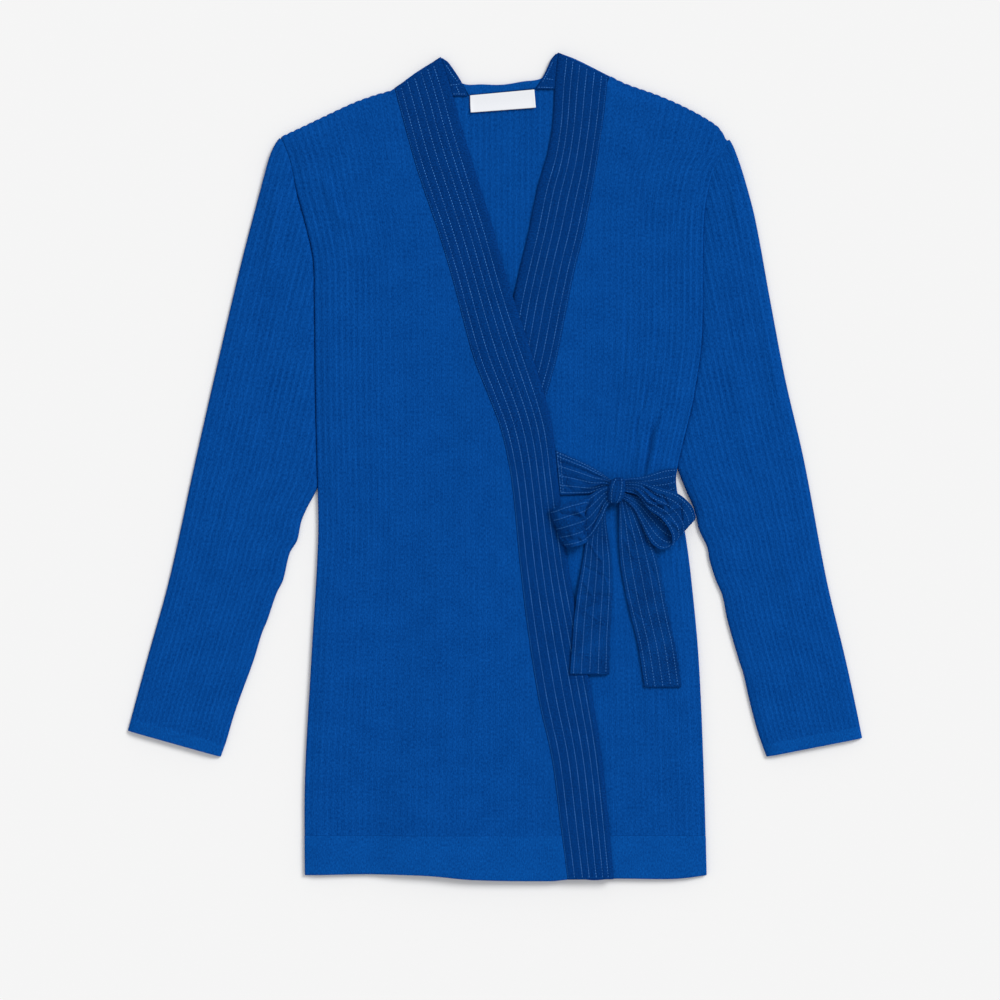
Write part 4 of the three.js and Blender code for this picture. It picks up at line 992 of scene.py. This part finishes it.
# Tie: rows of (ax, ay, az, bx, by, bz) from one edge to the other, with the height of the wall's inner side
tie = {
    "strapFromBand": [
        (57.6, 15, 6.9, 61.8, -27, 6.9), (68, 10.2, 6.8, 70, -27, 6.8), (84, 3, 6.7, 81, -26.5, 6.8),
        (96, -3.6, 7.4, 91, -25.4, 7.2), (104.6, -9.4, 9, 103, -20.4, 8.6),
        (111, -14, 11, 110, -21, 11),
    ],
    "strapFromSide": [
        (171.4, -2.4, 4.4, 170.6, -24.6, 4.4), (161, -3.4, 6.6, 160.6, -28.6, 6.6),
        (149, -7.4, 7.2, 148, -27.5, 7), (139, -10.4, 8.2, 138, -24, 7.6),
        (126, -12, 9.6, 126, -20.5, 9.2), (119, -14, 11.5, 119, -20, 11),
    ],
    "loopOverBand": [
        (110, -19, 11.6, 109, -34, 11.6), (103, -19.8, 11, 104.6, -41, 11),
        (96, -23.6, 10.2, 99.6, -53.5, 10.2), (86.5, -29.5, 9.6, 89.5, -69, 9.6),
        (75, -35, 9.6, 78.4, -74.4, 9.6), (61.5, -39, 9.8, 71.4, -76.6, 9.8),
        (52.6, -41.4, 10.8, 68.4, -77.2, 10.8), (51.6, -41, 12.8, 68, -77, 12.6),
        (56.4, -39.6, 17.2, 72, -76.6, 16.8), (66, -36, 19.2, 78, -75.4, 18.4),
        (77, -33, 18.8, 83, -73.6, 18), (84.8, -31.4, 17.2, 86.4, -71.8, 16.6),
        (89, -31.4, 14.8, 87.6, -70.6, 14.4), (88, -33.4, 12.4, 85.6, -69.6, 12.2),
        (83, -36, 11.4, 81.4, -68.6, 11.4),
    ],
    "loopOverHip": [
        (120, -16, 13.6, 120.5, -23.5, 13.6), (124.6, -14.6, 14, 125.3, -24.6, 14),
        (136, -14.8, 16.6, 134.6, -28, 15.6),
        (153.8, -20.4, 18.6, 144.6, -40.4, 17.4), (171.4, -25.8, 18.8, 157, -49.6, 18),
        (183.6, -35.6, 18, 165.4, -61.4, 17.4), (189, -45.6, 15.4, 167.6, -71.4, 15),
        (188.4, -51.4, 12, 164.6, -77.4, 12), (181, -55, 10.2, 155.6, -78.4, 10),
        (167, -49, 9.8, 147, -71, 9.6), (153, -40, 10, 139.4, -56, 9.8),
        (140, -31, 10.4, 132.4, -42, 10), (125.6, -26, 10.6, 124.6, -33.6, 10.4),
        (120, -25, 11, 119.5, -31.5, 10.8),
    ],
    "tailOverBand": [
        (102, -29, 9.6, 108, -31, 9.6), (98, -37.4, 8.2, 105, -38, 8.2), (92.4, -52, 7.2, 105, -52, 7.4),
        (86.2, -71, 6.9, 107.6, -71, 6.8), (82.6, -94, 6.9, 110.4, -94, 6.4),
        (78.4, -118, 8.8, 110.6, -118, 6.9), (75.2, -142, 9.7, 109.6, -142, 6.6),
        (73.4, -165, 10, 108.4, -165, 6.8), (71, -196.5, 10.1, 107.8, -197, 6.9),
    ],
    "tailOverHip": [
        (117.6, -30, 9.6, 126, -30, 9.6), (117.4, -37.4, 8.2, 130.6, -36.6, 8.2),
        (117.4, -52, 7.4, 139, -52, 7),
        (117.4, -71, 6.7, 148, -71, 6.5), (119.4, -96, 6.3, 155.6, -96, 6.5),
        (125.9, -130, 6.5, 161.5, -128, 6.4), (131.4, -152, 6.4, 165.8, -149, 6.6),
        (136.4, -174, 6.5, 170.6, -171, 6.4), (141.9, -209, 6.4, 176.2, -209, 6.4),
    ],
    "lines": [0.08, 0.28, 0.5, 0.72, 0.92],
    "width": 35.0,
    "pleats": 3.0,
    "pleatDepth": 0.9,
}


tiePaths = []  # stitch lines of all its pieces


def tiePiece(name, sections, node, arch=0.0, pleated=(0, 0), lines=tie["lines"], creases=(), rowsPer=14,
             stitched=(1,), sway=(), wrinkles=(), crossLines=()):
    # a ruled surface between two smooth edge lines, arched a little. s counts its sections, u runs across.
    last = len(sections) - 1
    s = np.linspace(0, last, last * rowsPer + 1)[:, None]
    u = np.concatenate([[0, 0.012], np.linspace(0, 1, 40)[1:-1], [0.988, 1]])[None, :]
    ax, ay, az, bx, by, bz = edgeLines(sections, s)
    point = joined(mix(ax, bx, u), mix(ay, by, u), mix(az, bz, u) + arch * np.sin(np.pi * u))
    for place, reach, low, dx, dy in sway:
        # an edge or a fold that bows sideways by dx and dy: most at the share of the width set by low
        bow = bell(s - place, reach) * np.sin(np.pi * u**low)
        point = point + bow[..., None] * [dx, dy, 0]
    # pleats fade over so many sections from the start and from the end
    fades = [1 - ease(away / reach) for away, reach in zip((s, last - s), pleated) if reach]
    height = tie["pleatDepth"] * np.maximum.reduce(fades) * 0.5 * (1 - np.cos(2 * np.pi * tie["pleats"] * u))
    for place, reach, peak, lean in creases:
        # right across the strip, around a section, leaning over u
        height = height + peak * bell(s - place - lean * u, reach)
    width = tie["width"]
    steps = np.linalg.norm(np.diff((point[:, 0] + point[:, -1]) / 2, axis=0), axis=-1)
    run = np.concatenate([[0], np.cumsum(steps)])
    evenEdges = ease((u * width + 0.5) / 5) * ease((width + 0.5 - u * width) / 5)
    for along1, across1, along2, across2, reach, peak in wrinkles:
        # from one place to another, in millimetres along and across the strip; the edges stay nearly even
        length = math.hypot(along2 - along1, across2 - across1)
        da, dc = (along2 - along1) / length, (across2 - across1) / length
        a, c = run[:, None] - along1, u * width - across1
        along, away = a * da + c * dc, a * dc - c * da
        ends = ease((along + 2) / 4) * ease((length + 2 - along) / 4)
        height = height + peak * ends * evenEdges * bell(away, reach)
    normal = unit(np.cross(np.gradient(point, axis=0), np.gradient(point, axis=1)))
    outer = point + normal * (cloth["tieWall"] + height)[..., None]
    inner = point + normal * (height * 0.8)[..., None]
    uv = joined(u * width, run[:, None])
    piece = clothShell(name, outer, inner, uv, tieCrepe, node, 0.35, strip=True)
    size = np.clip(np.linalg.norm(point[:, -1] - point[:, 0], axis=-1) / 24, 0.35, 1.0)
    faces = {1: outer, -1: inner}  # stitches show on the wall's outer side, its inner side or both
    for share in lines:
        k = np.interp(share, u[0], np.arange(u.shape[1]))
        low = int(k)
        for side in stitched:
            face = faces[side]
            path = mix(face[:, low], face[:, low + 1], k - low)
            tiePaths.append((path, side * mix(normal[:, low], normal[:, low + 1], k - low), size))
    for place in crossLines:
        # a line across the strip, a number of millimetres from its start
        row = int(np.argmin(np.abs(run - place)))
        path = faces[stitched[0]][row]
        tiePaths.append((path, normal[row] * stitched[0], np.full(len(path), 0.85)))
    return piece


strapRight = tiePiece(
    "right_strap", tie["strapFromBand"], "tie_strap_right", arch=0.8, pleated=(0, 2.4), rowsPer=20,
    lines=[0.03, 0.12, 0.34, 0.56, 0.78, 0.95], stitched=(-1,), crossLines=(0.8, 3.6),
    wrinkles=[
        (1, 8.6, 42, 8.6, 2.0, 1.4), (3, 6, 40, 5, 1.6, -0.5), (12, 18, 30, 22, 2.0, 1.0),
        (24, 29, 44, 22, 2.0, -1.1), (6, 26, 16, 33, 1.8, 0.9),
    ],
)
strapLeft = tiePiece(
    "left_strap", tie["strapFromSide"], "tie_strap_left", arch=0.8, pleated=(0, 2.8),
    lines=[0.06, 0.3, 0.55, 0.8],
)
loopRight = tiePiece(
    "right_loop", tie["loopOverBand"], "bow_loop_right", pleated=(3.2, 0), rowsPer=18, stitched=(1, -1),
    creases=[(8.6, 0.35, -0.6, 0.4), (9.6, 0.3, 0.5, -0.5)],
    sway=[(12.3, 1.2, 1.0, -4.5, 0.5), (6.4, 0.9, 1.6, -2.4, -0.8)],
    wrinkles=[
        (72, 6, 88, 13, 1.8, 2.5), (74, 25, 92, 19, 1.9, -2.5), (70, 28, 84, 31, 1.5, 1.7),
        (84, 6, 97, 20, 1.8, -2.3), (90, 29, 100, 15, 1.8, 2.3), (12, 22, 30, 28, 1.9, -2.1),
        (20, 6, 34, 13, 1.8, 2.0), (84, 31, 96, 28, 1.5, -1.5), (60, 6, 66, 29, 1.3, 1.1),
    ],
)
loopLeft = tiePiece(
    "left_loop", tie["loopOverHip"], "bow_loop_left", pleated=(3.0, 3.0), rowsPer=18, stitched=(1, -1),
    creases=[(3.4, 0.3, -0.6, 0.5), (4.4, 0.25, 0.5, 0.3), (9.2, 0.4, 0.5, -0.3)],
    wrinkles=[
        (12, 22, 28, 28, 1.8, -2.7), (20, 8, 40, 14, 1.8, 2.5), (28, 29, 46, 17, 1.7, -2.8),
        (38, 8, 50, 22, 1.7, 2.3), (48, 28, 58, 10, 1.7, -2.6), (56, 8, 68, 18, 1.7, 2.3),
        (60, 28, 72, 24, 1.6, -1.9), (33, 21, 46, 25, 1.4, 2.1), (22, 14, 34, 19, 1.4, -1.9),
    ],
)
tailRight = tiePiece(
    "right_tail", tie["tailOverBand"], "tie_tail_right", pleated=(3.2, 0), rowsPer=22,
    creases=[
        (2.6, 0.12, -0.35, 0.5), (3.6, 0.1, -0.3, -0.7), (4.4, 0.12, -0.35, 0.25), (5.16, 0.08, -0.6, 0.06),
        (5.36, 0.12, 0.45, 0.06),
    ],
    wrinkles=[
        (44, 6, 62, 24, 1.4, 1.0), (54, 32, 70, 10, 1.3, 0.9), (66, 2, 78, 32, 1.2, -0.9),
        (74, 26, 94, 34, 1.3, 0.9), (80, 4, 98, 18, 1.4, 0.9), (96, 30, 108, 6, 1.2, -0.8),
        (108, 8, 122, 30, 1.2, 0.7), (118, 26, 130, 12, 1.2, -0.6), (148, 4, 154, 31, 1.2, 0.6),
    ],
)
tailLeft = tiePiece(
    "left_tail", tie["tailOverHip"], "tie_tail_left", pleated=(3.2, 0), rowsPer=18,
    creases=[(2.7, 0.3, -0.3, 0.3), (5.2, 0.35, 0.25, 0.3)],
    wrinkles=[
        (20, 8, 44, 20, 1.8, 0.9), (40, 5, 60, 14, 1.6, 0.9), (60, 26, 86, 31, 1.6, -0.7),
        (84, 4, 96, 14, 1.6, 0.6), (110, 3, 130, 13, 1.7, 0.6), (140, 20, 156, 30, 1.7, -0.5),
    ],
)
tieStitches = stitchPiece("tie_stitches", tiePaths, tieThread, width=0.6)
print("tie made")

knot = {
    "x": 114.8, "y": -23.2, "z": 12.6, "halfX": 8.4, "halfY": 12.6, "halfZ": 5.6, "lean": 2.4,
    "pleats": 3.0, "pleatDepth": 0.55, "lines": [-0.45, 0.42], "rows": 60, "columns": 96,
}


def knotPoint(lon, lat):
    # a squared ball: powers of sine and cosine, with shallow pleats that run over it from top to bottom
    cx, cy, cz = np.cos(lat) * np.cos(lon), np.sin(lat) + 0 * lon, np.cos(lat) * np.sin(lon)

    def squared(value, power):
        return np.sign(value) * np.abs(value) ** power

    dents = np.sin(np.pi * knot["pleats"] * cx) ** 2 * (1 - cy**2)
    pleat = 1 - knot["pleatDepth"] / knot["halfZ"] * dents
    x = knot["x"] + knot["halfX"] * squared(cx, 0.8) + knot["lean"] * cy
    y = knot["y"] + knot["halfY"] * squared(cy, 0.8)
    z = knot["z"] + knot["halfZ"] * squared(cz, 0.95) * pleat
    return joined(x, y, z)


def knotPiece():
    # lon runs round the Y axis, lat from the lower to the upper end
    rows, columns = knot["rows"], knot["columns"]
    lon = np.linspace(0, 2 * np.pi, columns + 1)[:-1][None, :]
    lat = np.linspace(-np.pi / 2 + 0.02, np.pi / 2 - 0.02, rows)[:, None]
    grid = knotPoint(lon, lat)
    points = np.concatenate([grid.reshape(-1, 3), [grid[0].mean(0), grid[-1].mean(0)]])
    c = np.arange(columns)
    n = (c + 1) % columns
    pole = rows * columns
    last = pole - columns
    faces = [*gridFaces(rows, columns, ring=True), *joined(n, c, pole), *joined(last + c, last + n, pole + 1)]
    piece = makePiece("knot", points, faces, points[:, :2], tieCrepe, "tie_knot")
    lats = np.linspace(-1.2, 1.2, 60)
    paths = [(knotPoint(np.full(60, math.acos(share)), lats), upward(60)) for share in knot["lines"]]
    return piece, stitchPiece("knot_stitches", paths, tieThread, width=0.6)


knotCloth, knotStitches = knotPiece()
print("knot made")

# Neck: the turned ends of the bands, the facing and the label
neck = {
    "rightTurn": [(386.5, -49.4), (383.5, -45), (374, -38), (363.5, -31.5), (351.5, -26)],
    "leftTurn": [(391, 57.6), (386, 53.5), (377, 49.5), (368.5, 45), (358, 39)],
    "facing": {
        "rightTop": -30.6, "rightFoot": -24.9, "rightY": 352.4,
        "leftTop": 43.8, "leftFoot": 37.8, "leftY": 358.6,
    },
    "stitchLines": [
        [(-43, 361.4), (-32.5, 362.6)], [(-40.4, 353.2), (-27.6, 353)], [(-37, 361), (-33.6, 353.4)],
        [(-46.6, 381), (-40.4, 371), (-34, 363.6)], [(48, 367.6), (55.4, 366.8)],
        [(40.4, 359.6), (55, 359.2)], [(54.8, 384), (50, 373.6), (44.6, 363.6)],
    ],
    "label": [
        (-23.6, 351.8, 2.5, 37.2, 357.4, 2.5), (-23.4, 343, 2.4, 38, 348, 2.4),
        (-23, 335.6, 2.9, 38.6, 340.2, 3.2),
    ],
}


def flatPatch(name, pointAt, columns, rows, material, node, relief):
    # a flat piece on the back neck: u runs across, t from the foot to the top, always facing up
    u = np.linspace(0, 1, columns)[None, :]
    t = np.linspace(1, 0, rows)[:, None]
    x, y = np.broadcast_arrays(*pointAt(u, t))
    upper = joined(x, y, facingLevel + cloth["facingWall"] + relief(u, t))
    lower = joined(x, y, facingLevel)
    if x[0, -1] < x[0, 0]:
        upper, lower = upper[:, ::-1], lower[:, ::-1]
    return clothShell(name, upper, lower, upper[..., :2], material, node, 0.3)


def bandTurn(side, edgeX, inwards):
    # a band's turned end, from just inside the band's edge to its own edge in the neck
    rows = neck[side + "Turn"]
    neckX = curveThrough(rows)

    def pointAt(u, t):
        y = mix(rows[0][0], rows[-1][0], t) + 0 * u
        return mix(edgeX(y) + inwards * 0.3, neckX(y), u), y

    def channels(u, t):
        return 0.25 * np.abs(np.sin(2 * np.pi * u)) ** 0.6

    names = side + "_band_end", "band_end_" + side
    return flatPatch(names[0], pointAt, 30, 50, crepe, names[1], channels)


rightTurn = bandTurn("right", rightEdgeX, 1)
leftTurn = bandTurn("left", leftEdgeX, -1)


def turnStitchPath(places):
    # a stitch line on the turned ends, through (x, y) places
    corners = np.array(places, float)
    run = np.concatenate([[0], np.cumsum(np.hypot(*np.diff(corners, axis=0).T))])
    steps = np.linspace(0, run[-1], 60)
    x, y = (np.interp(steps, run, column) for column in corners.T)
    return joined(x, y, facingLevel + cloth["facingWall"] + 0.2), upward(60)


turnStitches = stitchPiece(
    "band_end_stitches", [turnStitchPath(line) for line in neck["stitchLines"]], stitchThread,
    pitch=2.4, length=1.7, **smallStitch,
)


def facingPoint(u, t):
    f = neck["facing"]
    x = mix(mix(f["rightTop"], f["leftTop"], u), mix(f["rightFoot"], f["leftFoot"], u), t)
    return x, mix(backNeckY(x) - 0.2, mix(f["rightY"], f["leftY"], u), t)


neckFacing = flatPatch(
    "neck_facing_strip", facingPoint, 90, 16, plainKnit, "neck_facing",
    lambda u, t: -0.35 * bell(1 - t, 0.08),  # drawn in at its foot
)


def labelPiece():
    # hangs from the facing: its sections run from the sewn edge down, and its ends curl up a little
    s = np.linspace(0, 2, 26)[:, None]
    u = np.linspace(0, 1, 90)[None, :]
    ax, ay, az, bx, by, bz = edgeLines(neck["label"], s)
    curl = (0.5 * bell(u, 0.03) + 0.4 * bell(1 - u, 0.03)) * ease(s / 1.2)
    point = joined(mix(ax, bx, u), mix(ay, by, u), mix(az, bz, u) + curl)[::-1]
    upper = point + [0, 0, cloth["labelWall"]]
    return clothShell("label", upper, point, point[..., :2], ribbon, "neck_label", 0.1)


labelCloth = labelPiece()
print("neck made")

# Camera, light and floor
studio = {
    "middle": (4.75, -32.0),  # what the picture's centre sees
    "width": 950.0,
    "lens": 85.0,
    "sensor": 36.0,
    "floor": "#f6f6f6",
    "floorHalf": 6.0,  # metres
    "ambient": 0.585,
    "sun": 2.0,
    "sunFrom": (0.55, 0.55, 0.65),  # upper right, where the folds and edges are lit
    "sunSpread": 24.0,  # degrees across, for soft edges
}

scene = bpy.context.scene
floorMesh = bpy.data.meshes.new("floor")
half, below = studio["floorHalf"], -0.6 * mm  # just under the cloth
corners = [(-half, -half, below), (half, -half, below), (half, half, below), (-half, half, below)]
floorMesh.from_pydata(corners, [], [(0, 1, 2, 3)])
floorObject = bpy.data.objects.new("floor", floorMesh)
scene.collection.objects.link(floorObject)
floorMaterial, floorShader = newMaterial("paintedBoard", 0.9, 0.0)  # an even matt ground for soft shadows
floorShader.inputs["Base Color"].default_value = srgb(studio["floor"])
floorMesh.materials.append(floorMaterial)

world = bpy.data.worlds.new("studio")
world.use_nodes = True
background = world.node_tree.nodes["Background"]
background.inputs["Color"].default_value = (1.0, 1.0, 1.0, 1.0)
background.inputs["Strength"].default_value = studio["ambient"]
scene.world = world
sun = bpy.data.lights.new("sun", "SUN")
sun.energy = studio["sun"]
sun.angle = math.radians(studio["sunSpread"])
sunObject = bpy.data.objects.new("sun", sun)
sunObject.rotation_euler = Vector(studio["sunFrom"]).to_track_quat("Z", "Y").to_euler()
scene.collection.objects.link(sunObject)
scene.view_settings.view_transform = "Standard"

camera = bpy.data.cameras.new("camera")
camera.lens = studio["lens"]
camera.sensor_width = studio["sensor"]
cameraObject = bpy.data.objects.new("camera", camera)
distance = studio["width"] * studio["lens"] / studio["sensor"]
cameraObject.location = [value * mm for value in (*studio["middle"], distance)]
scene.collection.objects.link(cameraObject)
scene.camera = cameraObject
print("studio made")
